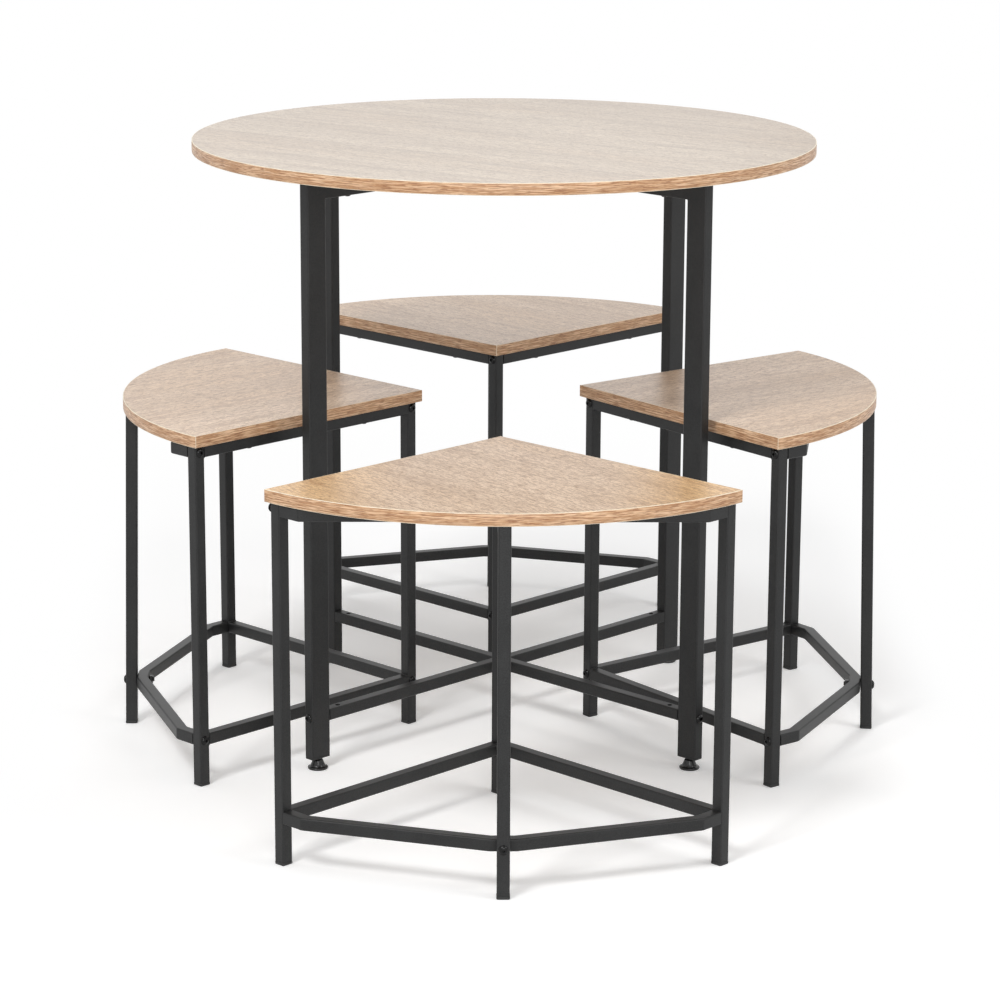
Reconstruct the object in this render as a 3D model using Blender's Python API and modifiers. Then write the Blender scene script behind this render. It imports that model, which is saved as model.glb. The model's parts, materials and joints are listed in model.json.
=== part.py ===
"""Round dining table with four quarter-round stools that slide in under it.

Metres, +Z up. The origin lies on the floor in the middle of the space that the whole
set takes up, +X points to the right and +Y to the back as one faces the set. Places
below are counted from the middle of the table, which stands a little off the origin.
"""
import math

import bmesh
import bpy
from mathutils import Matrix, Vector

# Overall sizes of the table
TABLE_RADIUS = 0.400
TABLE_HEIGHT = 0.773
BOARD_THICKNESS = 0.015
BAND_THICKNESS = 0.001

# Table tubes: the deep side of a leg points at the middle of the table
LEG_DEPTH = 0.030
LEG_WIDTH = 0.015
LEG_WALL = 0.0012
LEG_CORNER = 0.002
LEG_INSET = 0.051
LEG_BOTTOM = 0.0165
RAIL_INNER_END = 0.0125

# Cross stretcher low between the table legs
STRETCHER_HEIGHT = 0.015
STRETCHER_WIDTH = 0.015
STRETCHER_WALL = 0.0012
STRETCHER_RISE = 0.0447
STRETCHER_HOLE_RADIUS = 0.003
STRETCHER_HOLE_FROM_LEG = 0.020

# Levelling feet of the table
FOOT_RADIUS = 0.013
FOOT_RIM = 0.0025
FOOT_HEIGHT = 0.0122
FOOT_NECK_RADIUS = 0.0064
FOOT_FLARE_RADIUS = 0.010
FOOT_FLARE_HEIGHT = 0.0038
STEM_RADIUS = 0.004
STEM_TOP = 0.045
STEM_CLEARANCE = 0.0004
PLUG_FLANGE = 0.0017
PLUG_DEPTH = 0.014

# Screws through the top rails into the table board
TOP_SCREW_LENGTH = 0.041
TOP_SCREW_FROM_LEG = 0.073
TOP_SCREW_FROM_END = 0.0475

# Stool sizes, in the stool's own frame: tip at the origin, arc towards +X
STOOL_HEIGHT = 0.450
SEAT_RADIUS = 0.385
SEAT_THICKNESS = 0.015
TUBE = 0.015
TUBE_WALL = 0.0012
TUBE_CORNER = 0.002
EDGE_INSET = 0.013
CORNER_LEG_INSET = 0.0115
ARC_LEG_INSET = 0.0095
ARC_LEG_SPLAY = 0.0095
RING_CENTRE_HEIGHT = 0.059
STUB_LENGTH = 0.031
NOSE_WIDTH = 0.032
SEAT_SCREW_LENGTH = 0.025
SEAT_SCREW_FROM_TIP = 0.092
SEAT_SCREW_FROM_CORNER = 0.0855
CAP_THICKNESS = 0.003
CAP_DEPTH = 0.008

# Welds
WELD_SINK = 0.0009
VENT_RADIUS = 0.0025

# Bolts with a low button head, the nut bars inside the tube ends and the nut on the nose
BOLT_RADIUS = 0.003
BOLT_HOLE_RADIUS = 0.0038
BOLT_HEAD_RADIUS = 0.00575
BOLT_HEAD_TOP_RADIUS = 0.0036
BOLT_HEAD_HEIGHT = 0.003
BOLT_ENTRY = 0.012
NUT_BAR_LENGTH = 0.010
NUT_BAR_HEIGHT = 0.009
NUT_BAR_SETBACK = 0.0010
NUT_SINK = 0.0004
NUT_RADIUS = 0.0058
NUT_HEIGHT = 0.005
NUT_TAIL = 0.0015

# Pan head wood screws
SCREW_RADIUS = 0.002
SCREW_HOLE_RADIUS = 0.0029
SCREW_HEAD_RADIUS = 0.004
SCREW_HEAD_TOP_RADIUS = 0.003
SCREW_HEAD_HEIGHT = 0.0024
SCREW_SINK = 0.0004

# Clearances
GAP = 0.0003
OVERRUN = 0.004
MERGE = 0.000005

# Where each stool stands, and its place when it is nested under the table
NEST_TIP = 0.015
STOOL_TIPS = {
    "front": (-0.0068, -0.3112),
    "left": (-0.1053, -0.0450),
    "back": (-0.0060, 0.2486),
    "right": (0.1002, -0.0120),
}
STOOL_NEST_TURNS = {"front": -90.0, "left": 180.0, "back": 90.0, "right": 0.0}
STOOL_EXTRA_TURNS = {"front": 0.0, "left": 0.0, "back": 0.0, "right": -8.2}
STOOL_HANDS = {"front": 1, "left": 1, "back": 1, "right": -1}

# Facets
TABLE_STEPS = 64
SEAT_STEPS = 16
CORNER_STEPS = 1
BOLT_STEPS = 8
HOLE_STEPS = 6
SCREW_STEPS = 5
FOOT_STEPS = 12
ROUND_PROFILE = 0.5

DIAGONAL = math.sqrt(0.5)
UP = Vector((0, 0, 1))
LEG_ANGLES = {"front_left": 225, "front_right": 315, "back_left": 135, "back_right": 45}

LEG_REACH = TABLE_RADIUS - LEG_INSET
STRETCHER_CENTRE_HEIGHT = LEG_BOTTOM + STRETCHER_RISE + STRETCHER_HEIGHT / 2
CORNER_LEG_REACH = SEAT_RADIUS - CORNER_LEG_INSET
ARC_LEG_REACH = SEAT_RADIUS - ARC_LEG_INSET
TOP_SCREW_REACHES = (LEG_REACH - TOP_SCREW_FROM_LEG, RAIL_INNER_END + TOP_SCREW_FROM_END)
SEAT_SCREW_REACHES = (SEAT_SCREW_FROM_TIP, CORNER_LEG_REACH - SEAT_SCREW_FROM_CORNER)
BOARD_BOTTOM = TABLE_HEIGHT - BOARD_THICKNESS
SEAT_BOTTOM = STOOL_HEIGHT - SEAT_THICKNESS
ARC_LEG_RING_REACH = ARC_LEG_REACH + ARC_LEG_SPLAY * (1 - RING_CENTRE_HEIGHT / SEAT_BOTTOM)
ARC_LEG_FOOT_REACH = ARC_LEG_REACH + ARC_LEG_SPLAY * (1 - CAP_THICKNESS / SEAT_BOTTOM)
NOSE_REACH = ARC_LEG_RING_REACH - TUBE / 2 - GAP
UPPER_CENTRE_HEIGHT = SEAT_BOTTOM - GAP - TUBE / 2
LEVELS = (UPPER_CENTRE_HEIGHT, RING_CENTRE_HEIGHT)


def set_middle():
    """Return the middle of the set's length and width, counted from the table's middle."""
    leg_side = ARC_LEG_RING_REACH + TUBE / 2 + GAP + BOLT_HEAD_HEIGHT
    turn = math.radians(abs(STOOL_EXTRA_TURNS["right"]))
    right_side = max(SEAT_RADIUS, leg_side * math.cos(turn) + BOLT_HEAD_TOP_RADIUS * math.sin(turn))
    low = (STOOL_TIPS["left"][0] - leg_side, STOOL_TIPS["front"][1] - leg_side)
    high = (STOOL_TIPS["right"][0] + right_side, STOOL_TIPS["back"][1] + leg_side)
    return Vector(((low[0] + high[0]) / 2, (low[1] + high[1]) / 2, 0))


def clear_scene():
    """Remove every object, so the model starts from nothing."""
    for item in list(bpy.data.objects):
        bpy.data.objects.remove(item, do_unlink=True)


def make_collection(name):
    """Return a new collection linked to the scene."""
    collection = bpy.data.collections.new(name)
    bpy.context.scene.collection.children.link(collection)
    return collection


def make_material(name, colour, roughness, metallic=0.0):
    """Return a plain Principled material."""
    material = bpy.data.materials.new(name)
    material.use_nodes = True
    shader = material.node_tree.nodes["Principled BSDF"]
    shader.inputs["Base Color"].default_value = (*colour, 1)
    shader.inputs["Roughness"].default_value = roughness
    shader.inputs["Metallic"].default_value = metallic
    material.diffuse_color = (*colour, 1)
    return material


clear_scene()
SET = make_collection("round_dining_set")
CUTTERS = make_collection("cutters")

FINISHES = {
    "oak_top": ((0.70, 0.61, 0.50), 0.45, 0.0),
    "oak_seat": ((0.66, 0.55, 0.43), 0.45, 0.0),
    "edge_band": ((0.60, 0.38, 0.20), 0.40, 0.0),
    "black_steel": ((0.035, 0.035, 0.037), 0.45, 0.5),
    "black_plastic": ((0.02, 0.02, 0.02), 0.55, 0.0),
}
MATERIALS = {key: make_material(key, *values) for key, values in FINISHES.items()}

TABLE_MIDDLE = bpy.data.objects.new("table_middle", None)
TABLE_MIDDLE.location = -set_middle()
SET.objects.link(TABLE_MIDDLE)


def add_object(name, bm, finish=None, parent=None, smooth=False):
    """Turn a bmesh into an object, a cutter if it has no finish."""
    bmesh.ops.recalc_face_normals(bm, faces=bm.faces)
    mesh = bpy.data.meshes.new(name)
    bm.to_mesh(mesh)
    bm.free()
    if smooth:
        mesh.shade_smooth()
        mesh.set_sharp_from_angle(angle=math.radians(35))
    item = bpy.data.objects.new(name, mesh)
    if finish is None:
        CUTTERS.objects.link(item)
        item.hide_render = True
        item.display_type = "WIRE"
    else:
        SET.objects.link(item)
        mesh.materials.append(MATERIALS[finish])
    item.parent = parent or TABLE_MIDDLE
    return item


def cut(item, bm):
    """Take a bmesh away from an object, and join the object's own overlapping bars."""
    cutter = add_object(f"{item.name}_cutter_{len(item.modifiers)}", bm, parent=item.parent)
    boolean = item.modifiers.new("cut", "BOOLEAN")
    boolean.operation = "DIFFERENCE"
    boolean.solver = "EXACT"
    boolean.use_self = True
    boolean.object = cutter


def join(item, bm, overlapping=True):
    """Join the fasteners that an object carries to it, told if they overlap each other."""
    addition = add_object(f"{item.name}_addition", bm, parent=item.parent)
    weld = item.modifiers.new("merge", "WELD")
    weld.merge_threshold = MERGE
    boolean = item.modifiers.new("join", "BOOLEAN")
    boolean.operation = "UNION"
    boolean.solver = "EXACT"
    boolean.use_self = overlapping
    boolean.object = addition


def axes_matrix(origin, axis, side):
    """Return the matrix whose local Z runs along axis and local X along side."""
    axis = Vector(axis).normalized()
    side = Vector(side).normalized()
    matrix = Matrix((side, axis.cross(side), axis)).transposed().to_4x4()
    matrix.translation = Vector(origin)
    return matrix


def add_bar(bm, start, end, side, width, depth, corner=0.0):
    """Add a closed bar; width lies along side, and its long edges are rounded by corner."""
    start, end = Vector(start), Vector(end)
    run = end - start
    frame = axes_matrix((start + end) / 2, run, side)
    size = Matrix.Diagonal((width, depth, run.length, 1))
    verts = bmesh.ops.create_cube(bm, size=1, matrix=frame @ size)["verts"]
    if corner:
        axis = run.normalized()
        edges = {edge for vert in verts for edge in vert.link_edges}
        long_edges = [
            edge for edge in edges
            if abs((edge.verts[1].co - edge.verts[0].co).normalized().dot(axis)) > DIAGONAL
        ]
        bmesh.ops.bevel(
            bm, geom=long_edges, offset=corner, segments=CORNER_STEPS, profile=ROUND_PROFILE, affect="EDGES"
        )


def add_rod(bm, start, end, radius, steps, end_radius=None):
    """Add a closed cylinder or cone from start to end, with a flat at the side."""
    start, end = Vector(start), Vector(end)
    run = end - start
    side = run.orthogonal()
    turn = Matrix.Rotation(math.pi / steps, 4, "Z")
    bmesh.ops.create_cone(
        bm, cap_ends=True, segments=steps, radius1=radius,
        radius2=radius if end_radius is None else end_radius, depth=run.length,
        matrix=axes_matrix((start + end) / 2, run, side) @ turn,
    )


def add_turned(bm, profile, steps, matrix):
    """Spin a profile of (radius, height) points that starts and ends on the axis."""
    for vert in bm.verts:
        vert.tag = True
    verts = [bm.verts.new((radius, 0, height)) for radius, height in profile]
    edges = [bm.edges.new(pair) for pair in zip(verts, verts[1:])]
    bmesh.ops.spin(bm, geom=verts + edges, cent=(0, 0, 0), axis=UP, angle=math.tau, steps=steps)
    spun = [vert for vert in bm.verts if not vert.tag]
    bmesh.ops.remove_doubles(bm, verts=spun, dist=GAP / 100)
    spun = [vert for vert in bm.verts if not vert.tag]
    bmesh.ops.transform(bm, matrix=matrix, verts=spun)


def add_mitred_tube(bm, outline, frame, width, depth, wall, corner):
    """Add an open tube whose outer face follows outline, with mitred corners.

    The outline lies in the frame's XY plane with the tube on its right hand side. The
    skin is swept through the outline's points, and an inner skin a wall further in is
    joined to it at both ends.
    """
    points = [Vector(point) for point in outline]
    headings = [(b - a).normalized() for a, b in zip(points, points[1:])]
    rights = [Vector((heading.y, -heading.x)) for heading in headings]
    mitres = [rights[0]]
    for before, after in zip(rights, rights[1:]):
        mitres.append((before + after) / (1 + before.dot(after)))
    mitres.append(rights[-1])

    def ring(section):
        """Sweep one closed section through the outline and return its loops of corners."""
        loops = []
        for point, mitre in zip(points, mitres):
            loop = []
            for inward, height in section:
                spot = point + mitre * inward
                loop.append(bm.verts.new(frame @ Vector((spot.x, spot.y, height))))
            loops.append(loop)
        return loops

    def bridge(loop_a, loop_b):
        """Join two loops of corners by a band of faces."""
        for index in range(len(loop_a)):
            after = (index + 1) % len(loop_a)
            bm.faces.new((loop_a[index], loop_a[after], loop_b[after], loop_b[index]))

    outer = ring(section_points(width, depth, 0, corner))
    inner = ring(section_points(width, depth, wall, max(corner - wall, wall / 2)))
    for skin in (outer, inner):
        for loop_a, loop_b in zip(skin, skin[1:]):
            bridge(loop_a, loop_b)
    bridge(outer[0], inner[0])
    bridge(outer[-1], inner[-1])


def section_points(width, depth, inset, corner):
    """Return the corners of a tube section, inset from it and rounded off."""
    low, high = inset, width - inset
    half = depth / 2 - inset
    centres = (
        (low + corner, -half + corner, 180), (high - corner, -half + corner, 270),
        (high - corner, half - corner, 0), (low + corner, half - corner, 90),
    )
    points = []
    for inward, height, first in centres:
        for step in range(CORNER_STEPS + 1):
            angle = math.radians(first + 90 * step / CORNER_STEPS)
            points.append((inward + corner * math.cos(angle), height + corner * math.sin(angle)))
    return points


def add_bolt(bm, seat, heading, length):
    """Add one button head bolt with the shank running from its seat along heading."""
    heading = Vector(heading).normalized()
    add_rod(bm, seat, seat - heading * BOLT_HEAD_HEIGHT, BOLT_HEAD_RADIUS, BOLT_STEPS, BOLT_HEAD_TOP_RADIUS)
    add_rod(bm, seat - heading * (BOLT_HEAD_HEIGHT / 2), seat + heading * length, BOLT_RADIUS, HOLE_STEPS)


def add_nut_bar_bolt(bm, seat, heading, grip, side, bore):
    """Add a bolt and the nut bar, welded across the tube end's bore, that it screws into."""
    heading = Vector(heading).normalized()
    near = seat + heading * (grip + GAP + NUT_BAR_SETBACK)
    add_bar(bm, near, near + heading * NUT_BAR_LENGTH, side, bore + 2 * NUT_SINK, NUT_BAR_HEIGHT)
    add_bolt(bm, seat, heading, grip + BOLT_ENTRY)


def add_screw(bm, seat, length):
    """Add one pan head screw that points up from its seat."""
    profile = [
        (0, -SCREW_HEAD_HEIGHT), (SCREW_HEAD_TOP_RADIUS, -SCREW_HEAD_HEIGHT), (SCREW_HEAD_RADIUS, 0),
        (SCREW_RADIUS, 0), (SCREW_RADIUS, length), (0, length),
    ]
    add_turned(bm, profile, SCREW_STEPS, Matrix.Translation(seat))


def polar(radius, degrees, height):
    """Return the point at a radius and direction from the middle of the table."""
    angle = math.radians(degrees)
    return Vector((radius * math.cos(angle), radius * math.sin(angle), height))


def raise_face(bm, face, height):
    """Extrude a flat face into a closed solid of the given height."""
    raised = bmesh.ops.extrude_face_region(bm, geom=[face])["geom"]
    verts = [part for part in raised if isinstance(part, bmesh.types.BMVert)]
    bmesh.ops.translate(bm, vec=UP * height, verts=verts)


def board(name, outline, bottom, thickness, finish, pilots, depth, parent=None):
    """Make a flat board with blind pilot holes for the screws in its underside."""
    bm = bmesh.new()
    raise_face(bm, bm.faces.new([bm.verts.new(point + UP * bottom) for point in outline]), thickness)
    item = add_object(name, bm, finish, parent, smooth=True)
    holes = bmesh.new()
    for spot in pilots:
        low = spot + UP * bottom
        add_rod(holes, low - UP * OVERRUN, low + UP * depth, SCREW_HOLE_RADIUS, SCREW_STEPS)
    cut(item, holes)


def edge_band(name, outline, bottom, height, parent=None):
    """Make the thin band round a board's edge, a closed skin thickened inwards."""
    bm = bmesh.new()
    low = [bm.verts.new(point + UP * bottom) for point in outline]
    high = [bm.verts.new(point + UP * (bottom + height)) for point in outline]
    for index in range(len(outline)):
        after = (index + 1) % len(outline)
        bm.faces.new((low[index], low[after], high[after], high[index]))
    item = add_object(name, bm, "edge_band", parent, smooth=True)
    solidify = item.modifiers.new("thickness", "SOLIDIFY")
    solidify.thickness = BAND_THICKNESS
    solidify.offset = -1
    solidify.use_even_offset = True


def circle_outline(radius):
    """Return the corners of the round table top."""
    return [polar(radius, 360 * (step + 0.5) / TABLE_STEPS, 0) for step in range(TABLE_STEPS)]


def table_leg_frame(name, degrees):
    """Make a table leg and its top rail, mitred and welded at the corner."""
    radial = polar(1, degrees, 0)
    frame = Matrix((radial, UP, radial.cross(UP))).transposed().to_4x4()
    top = BOARD_BOTTOM - GAP
    outline = ((RAIL_INNER_END, top), (LEG_REACH, top), (LEG_REACH, LEG_BOTTOM))
    bm = bmesh.new()
    add_mitred_tube(bm, outline, frame, LEG_DEPTH, LEG_WIDTH, LEG_WALL, LEG_CORNER)
    item = add_object(name, bm, "black_steel")
    holes = bmesh.new()
    outside = polar(LEG_REACH + OVERRUN, degrees, STRETCHER_CENTRE_HEIGHT)
    inside = polar(LEG_REACH - LEG_DEPTH - OVERRUN, degrees, STRETCHER_CENTRE_HEIGHT)
    add_rod(holes, outside, inside, BOLT_HOLE_RADIUS, HOLE_STEPS)
    cut(item, holes)
    screws = bmesh.new()
    for reach in TOP_SCREW_REACHES:
        add_screw(screws, polar(reach, degrees, top - LEG_DEPTH + SCREW_SINK), TOP_SCREW_LENGTH - SCREW_SINK)
    join(item, screws, overlapping=False)


def cross_stretcher(name):
    """Make the cross of two tubes between the table legs, with one hole near each leg."""
    reach = LEG_REACH - LEG_DEPTH - GAP
    solid = bmesh.new()
    hollow = bmesh.new()
    for degrees in (45, 135):
        side = polar(1, degrees + 90, 0)
        ends = [polar(sign * reach, degrees, STRETCHER_CENTRE_HEIGHT) for sign in (1, -1)]
        add_bar(solid, *ends, side, STRETCHER_WIDTH, STRETCHER_HEIGHT, LEG_CORNER)
        far = [polar(sign * (reach + OVERRUN), degrees, STRETCHER_CENTRE_HEIGHT) for sign in (1, -1)]
        add_bar(
            hollow, *far, side, STRETCHER_WIDTH - 2 * STRETCHER_WALL, STRETCHER_HEIGHT - 2 * STRETCHER_WALL
        )
    for degrees in LEG_ANGLES.values():
        spot = polar(LEG_REACH - LEG_DEPTH - STRETCHER_HOLE_FROM_LEG, degrees, STRETCHER_CENTRE_HEIGHT)
        top = spot + UP * (STRETCHER_HEIGHT / 2 + OVERRUN)
        add_rod(hollow, spot, top, STRETCHER_HOLE_RADIUS, BOLT_STEPS)
    item = add_object(name, solid, "black_steel")
    cut(item, hollow)
    bolts = bmesh.new()
    bore = STRETCHER_WIDTH - 2 * STRETCHER_WALL
    for degrees in LEG_ANGLES.values():
        seat = polar(LEG_REACH + GAP, degrees, STRETCHER_CENTRE_HEIGHT)
        side = polar(1, degrees + 90, 0)
        add_nut_bar_bolt(bolts, seat, -polar(1, degrees, 0), LEG_DEPTH + GAP, side, bore)
    join(item, bolts)


def leg_plug(name, degrees):
    """Make the plastic plug in a table leg, bored for the stem of its foot."""
    bm, bore = bmesh.new(), bmesh.new()
    depth = LEG_DEPTH - 2 * LEG_WALL - 2 * GAP
    width = LEG_WIDTH - 2 * LEG_WALL - 2 * GAP
    side = polar(1, degrees, 0)
    low = polar(LEG_REACH - LEG_DEPTH / 2, degrees, LEG_BOTTOM - PLUG_FLANGE - GAP)
    add_bar(bm, low, low + UP * PLUG_FLANGE, side, LEG_DEPTH, LEG_WIDTH, LEG_CORNER)
    add_bar(bm, low + UP * (PLUG_FLANGE / 2), low + UP * PLUG_DEPTH, side, depth, width, LEG_CORNER)
    add_rod(
        bore, low - UP * OVERRUN, low + UP * (PLUG_DEPTH + OVERRUN), STEM_RADIUS + STEM_CLEARANCE, FOOT_STEPS
    )
    cut(add_object(name, bm, "black_plastic"), bore)


def levelling_foot(name, degrees):
    """Make one foot, a flared disc on a threaded stem, turned about its own axis."""
    profile = [
        (0, 0), (FOOT_RADIUS, 0), (FOOT_RADIUS, FOOT_RIM), (FOOT_FLARE_RADIUS, FOOT_FLARE_HEIGHT),
        (FOOT_NECK_RADIUS, FOOT_HEIGHT), (STEM_RADIUS, FOOT_HEIGHT), (STEM_RADIUS, STEM_TOP), (0, STEM_TOP),
    ]
    bm = bmesh.new()
    add_turned(bm, profile, FOOT_STEPS, Matrix())
    item = add_object(name, bm, "black_plastic", smooth=True)
    item.location = polar(LEG_REACH - LEG_DEPTH / 2, degrees, 0)


class StoolSide:
    """The straight side of a stool: along runs from the tip, inward runs to the stool's middle."""

    def __init__(self, sign):
        self.along = Vector((DIAGONAL, sign * DIAGONAL, 0))
        self.inward = Vector((DIAGONAL, -sign * DIAGONAL, 0))

    def point(self, distance, inset, height):
        """Return the point at a distance from the tip and an inset from the edge."""
        return self.along * distance + self.inward * inset + UP * height


def sector_outline(radius, side_inset):
    """Return the corners of a quarter disc whose straight sides are inset."""
    tip = side_inset / DIAGONAL
    reach = math.asin(side_inset / radius)
    points = [Vector((tip, 0, 0))]
    for step in range(SEAT_STEPS + 1):
        angle = -math.pi / 4 + reach + (math.pi / 2 - 2 * reach) * step / SEAT_STEPS
        points.append(Vector((radius * math.cos(angle), radius * math.sin(angle), 0)))
    return points


def add_leg(solid, hollow, centre, side):
    """Add a square leg tube and its bore to the bars and hollows of a frame."""
    low = CAP_THICKNESS + GAP
    high = SEAT_BOTTOM - GAP
    add_bar(solid, centre + UP * low, centre + UP * high, side, TUBE, TUBE, TUBE_CORNER)
    bore = TUBE - 2 * TUBE_WALL
    add_bar(hollow, centre + UP * (low - OVERRUN), centre + UP * (high + OVERRUN), side, bore, bore)


def side_frame(name, parent, sign, welded_tip):
    """Make a stool side: the corner leg and two rails, and the tip leg where it is welded on."""
    side, other = StoolSide(sign), StoolSide(-sign)
    solid, hollow = bmesh.new(), bmesh.new()
    bore = TUBE - 2 * TUBE_WALL
    corner_face = CORNER_LEG_REACH - TUBE / 2
    tip_face = EDGE_INSET + TUBE / 2
    add_leg(solid, hollow, side.point(CORNER_LEG_REACH, EDGE_INSET, 0), side.along)
    if welded_tip:
        add_leg(solid, hollow, side.point(EDGE_INSET, EDGE_INSET, 0), side.along)
    for height in LEVELS:
        start = tip_face - WELD_SINK if welded_tip else tip_face + GAP
        add_bar(
            solid, side.point(start, EDGE_INSET, height),
            side.point(corner_face + WELD_SINK, EDGE_INSET, height), side.inward, TUBE, TUBE, TUBE_CORNER,
        )
        start = tip_face + GAP if welded_tip else tip_face - OVERRUN
        add_bar(
            hollow, side.point(start, EDGE_INSET, height),
            side.point(corner_face - GAP, EDGE_INSET, height), side.inward, bore, bore,
        )
        corner_leg = side.point(CORNER_LEG_REACH, EDGE_INSET, height)
        reach = side.inward * (TUBE / 2 + OVERRUN)
        add_rod(hollow, corner_leg - reach, corner_leg + reach, BOLT_HOLE_RADIUS, HOLE_STEPS)
        if welded_tip:
            vent = side.point(corner_face - OVERRUN, EDGE_INSET, height)
            add_rod(hollow, vent, vent + side.along * (OVERRUN + 2 * TUBE_WALL), VENT_RADIUS, HOLE_STEPS)
            tip_leg = side.point(EDGE_INSET, EDGE_INSET, height)
            reach = other.along * (TUBE / 2 + OVERRUN)
            add_rod(hollow, tip_leg - reach, tip_leg + reach, BOLT_HOLE_RADIUS, HOLE_STEPS)
    item = add_object(name, solid, "black_steel", parent)
    cut(item, hollow)
    fasteners = bmesh.new()
    rail_bottom = UPPER_CENTRE_HEIGHT - TUBE / 2
    for reach in SEAT_SCREW_REACHES:
        spot = side.point(reach, EDGE_INSET, rail_bottom + SCREW_SINK)
        add_screw(fasteners, spot, SEAT_SCREW_LENGTH - SCREW_SINK)
    if not welded_tip:
        for height in LEVELS:
            tip = side.point(EDGE_INSET, EDGE_INSET, height)
            seat = tip - side.along * (TUBE / 2 + GAP)
            add_nut_bar_bolt(fasteners, seat, side.along, TUBE + GAP, UP, bore)
    join(item, fasteners, overlapping=not welded_tip)


def stub_points(sign):
    """Return the outer corners of a front stub: at the corner leg, and at its bend."""
    side = StoolSide(sign)
    outer = side.point(CORNER_LEG_REACH + TUBE / 2, EDGE_INSET + TUBE / 2, 0)
    return outer + side.inward * GAP, outer + side.inward * STUB_LENGTH


def front_tube(name, parent, height, nose):
    """Make the welded tube between the corner legs: straight, or bent out to a flat nose."""
    start, bend = stub_points(1)
    end, last_bend = stub_points(-1)
    middle = []
    if nose:
        middle = [Vector((NOSE_REACH, NOSE_WIDTH / 2, 0)), Vector((NOSE_REACH, -NOSE_WIDTH / 2, 0))]
    outline = [Vector((point.x, point.y)) for point in (start, bend, *middle, last_bend, end)]
    bm = bmesh.new()
    add_mitred_tube(bm, outline, Matrix.Translation(UP * height), TUBE, TUBE, TUBE_WALL, TUBE_CORNER)
    item = add_object(name, bm, "black_steel", parent)
    bolts = bmesh.new()
    bore = TUBE - 2 * TUBE_WALL
    for sign in (1, -1):
        side = StoolSide(sign)
        seat = side.point(CORNER_LEG_REACH, EDGE_INSET, height) - side.inward * (TUBE / 2 + GAP)
        add_nut_bar_bolt(bolts, seat, side.inward, TUBE + GAP, UP, bore)
    if nose:
        seat = Vector((ARC_LEG_RING_REACH + TUBE / 2 + GAP, 0, height))
        nut = Vector((NOSE_REACH - TUBE + NUT_SINK, 0, height))
        far = nut - Vector((NUT_HEIGHT, 0, 0))
        add_bolt(bolts, seat, (-1, 0, 0), (far - seat).length + NUT_TAIL)
        add_rod(bolts, nut, far, NUT_RADIUS, 6)
    else:
        hole = bmesh.new()
        near = Vector((bend.x + OVERRUN, 0, height))
        add_rod(hole, near, near - Vector((TUBE + 2 * OVERRUN, 0, 0)), BOLT_HOLE_RADIUS, HOLE_STEPS)
        cut(item, hole)
    join(item, bolts)


def splay(bm):
    """Slant an upright under the arc so that its foot stands out beyond its head."""
    for vert in bm.verts:
        vert.co.x += ARC_LEG_SPLAY * (1 - vert.co.z / SEAT_BOTTOM)


def arc_leg(name, parent):
    """Make the slanting leg under the arc and the bracket that ties its top to the front rail."""
    solid, hollow = bmesh.new(), bmesh.new()
    ahead, across = Vector((1, 0, 0)), Vector((0, 1, 0))
    bore = TUBE - 2 * TUBE_WALL
    face = ARC_LEG_REACH - TUBE / 2
    chord = stub_points(1)[1].x
    height = UP * UPPER_CENTRE_HEIGHT
    add_leg(solid, hollow, ahead * ARC_LEG_REACH, across)
    splay(solid)
    splay(hollow)
    add_bar(
        solid, ahead * (chord + GAP) + height, ahead * (face + WELD_SINK) + height, across,
        TUBE, TUBE, TUBE_CORNER,
    )
    add_bar(hollow, ahead * (chord - OVERRUN) + height, ahead * (face - GAP) + height, across, bore, bore)
    low = UP * RING_CENTRE_HEIGHT
    reach = TUBE / 2 + OVERRUN
    add_rod(
        hollow, ahead * (ARC_LEG_RING_REACH + reach) + low, ahead * (ARC_LEG_RING_REACH - reach) + low,
        BOLT_HOLE_RADIUS, HOLE_STEPS,
    )
    item = add_object(name, solid, "black_steel", parent)
    cut(item, hollow)
    bolts = bmesh.new()
    seat = ahead * (chord - TUBE - GAP) + height
    add_nut_bar_bolt(bolts, seat, ahead, TUBE + GAP, UP, bore)
    join(item, bolts)


def leg_cap(name, parent, centre, side):
    """Make the thin plastic cap under a leg, with the plug that holds it in the tube."""
    bm = bmesh.new()
    add_bar(bm, centre, centre + UP * CAP_THICKNESS, side, TUBE, TUBE)
    top = max(bm.faces, key=lambda face: face.calc_center_median().z)
    bmesh.ops.inset_region(bm, faces=[top], thickness=TUBE_WALL + GAP, use_even_offset=True)
    raised = bmesh.ops.extrude_face_region(bm, geom=[top])["geom"]
    bmesh.ops.delete(bm, geom=[top], context="FACES_ONLY")
    verts = [part for part in raised if isinstance(part, bmesh.types.BMVert)]
    bmesh.ops.translate(bm, vec=UP * CAP_DEPTH, verts=verts)
    add_object(name, bm, "black_plastic", parent)


def seat(name, parent):
    """Make the quarter-round seat board and the edge band round it."""
    inset = BAND_THICKNESS + GAP
    outline = sector_outline(SEAT_RADIUS - inset, inset)
    pilots = [
        StoolSide(sign).point(reach, EDGE_INSET, 0) for sign in (1, -1) for reach in SEAT_SCREW_REACHES
    ]
    depth = SEAT_SCREW_LENGTH - TUBE
    board(f"{name}_panel", outline, SEAT_BOTTOM, SEAT_THICKNESS, "oak_seat", pilots, depth, parent)
    edge_band(f"{name}_edge_band", sector_outline(SEAT_RADIUS, 0), SEAT_BOTTOM, SEAT_THICKNESS, parent)


def swing_pole(place):
    """Return the upright about which a turned stool swings to its nest under the table."""
    turn = math.radians(-STOOL_EXTRA_TURNS[place])
    heading = math.radians(STOOL_NEST_TURNS[place])
    tip = Vector(STOOL_TIPS[place])
    nest = Vector((math.cos(heading), math.sin(heading))) * NEST_TIP
    middle = (tip + nest) / 2
    chord = nest - tip
    back = Vector((-chord.y, chord.x)) / (2 * math.tan(turn / 2))
    return middle + back


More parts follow.
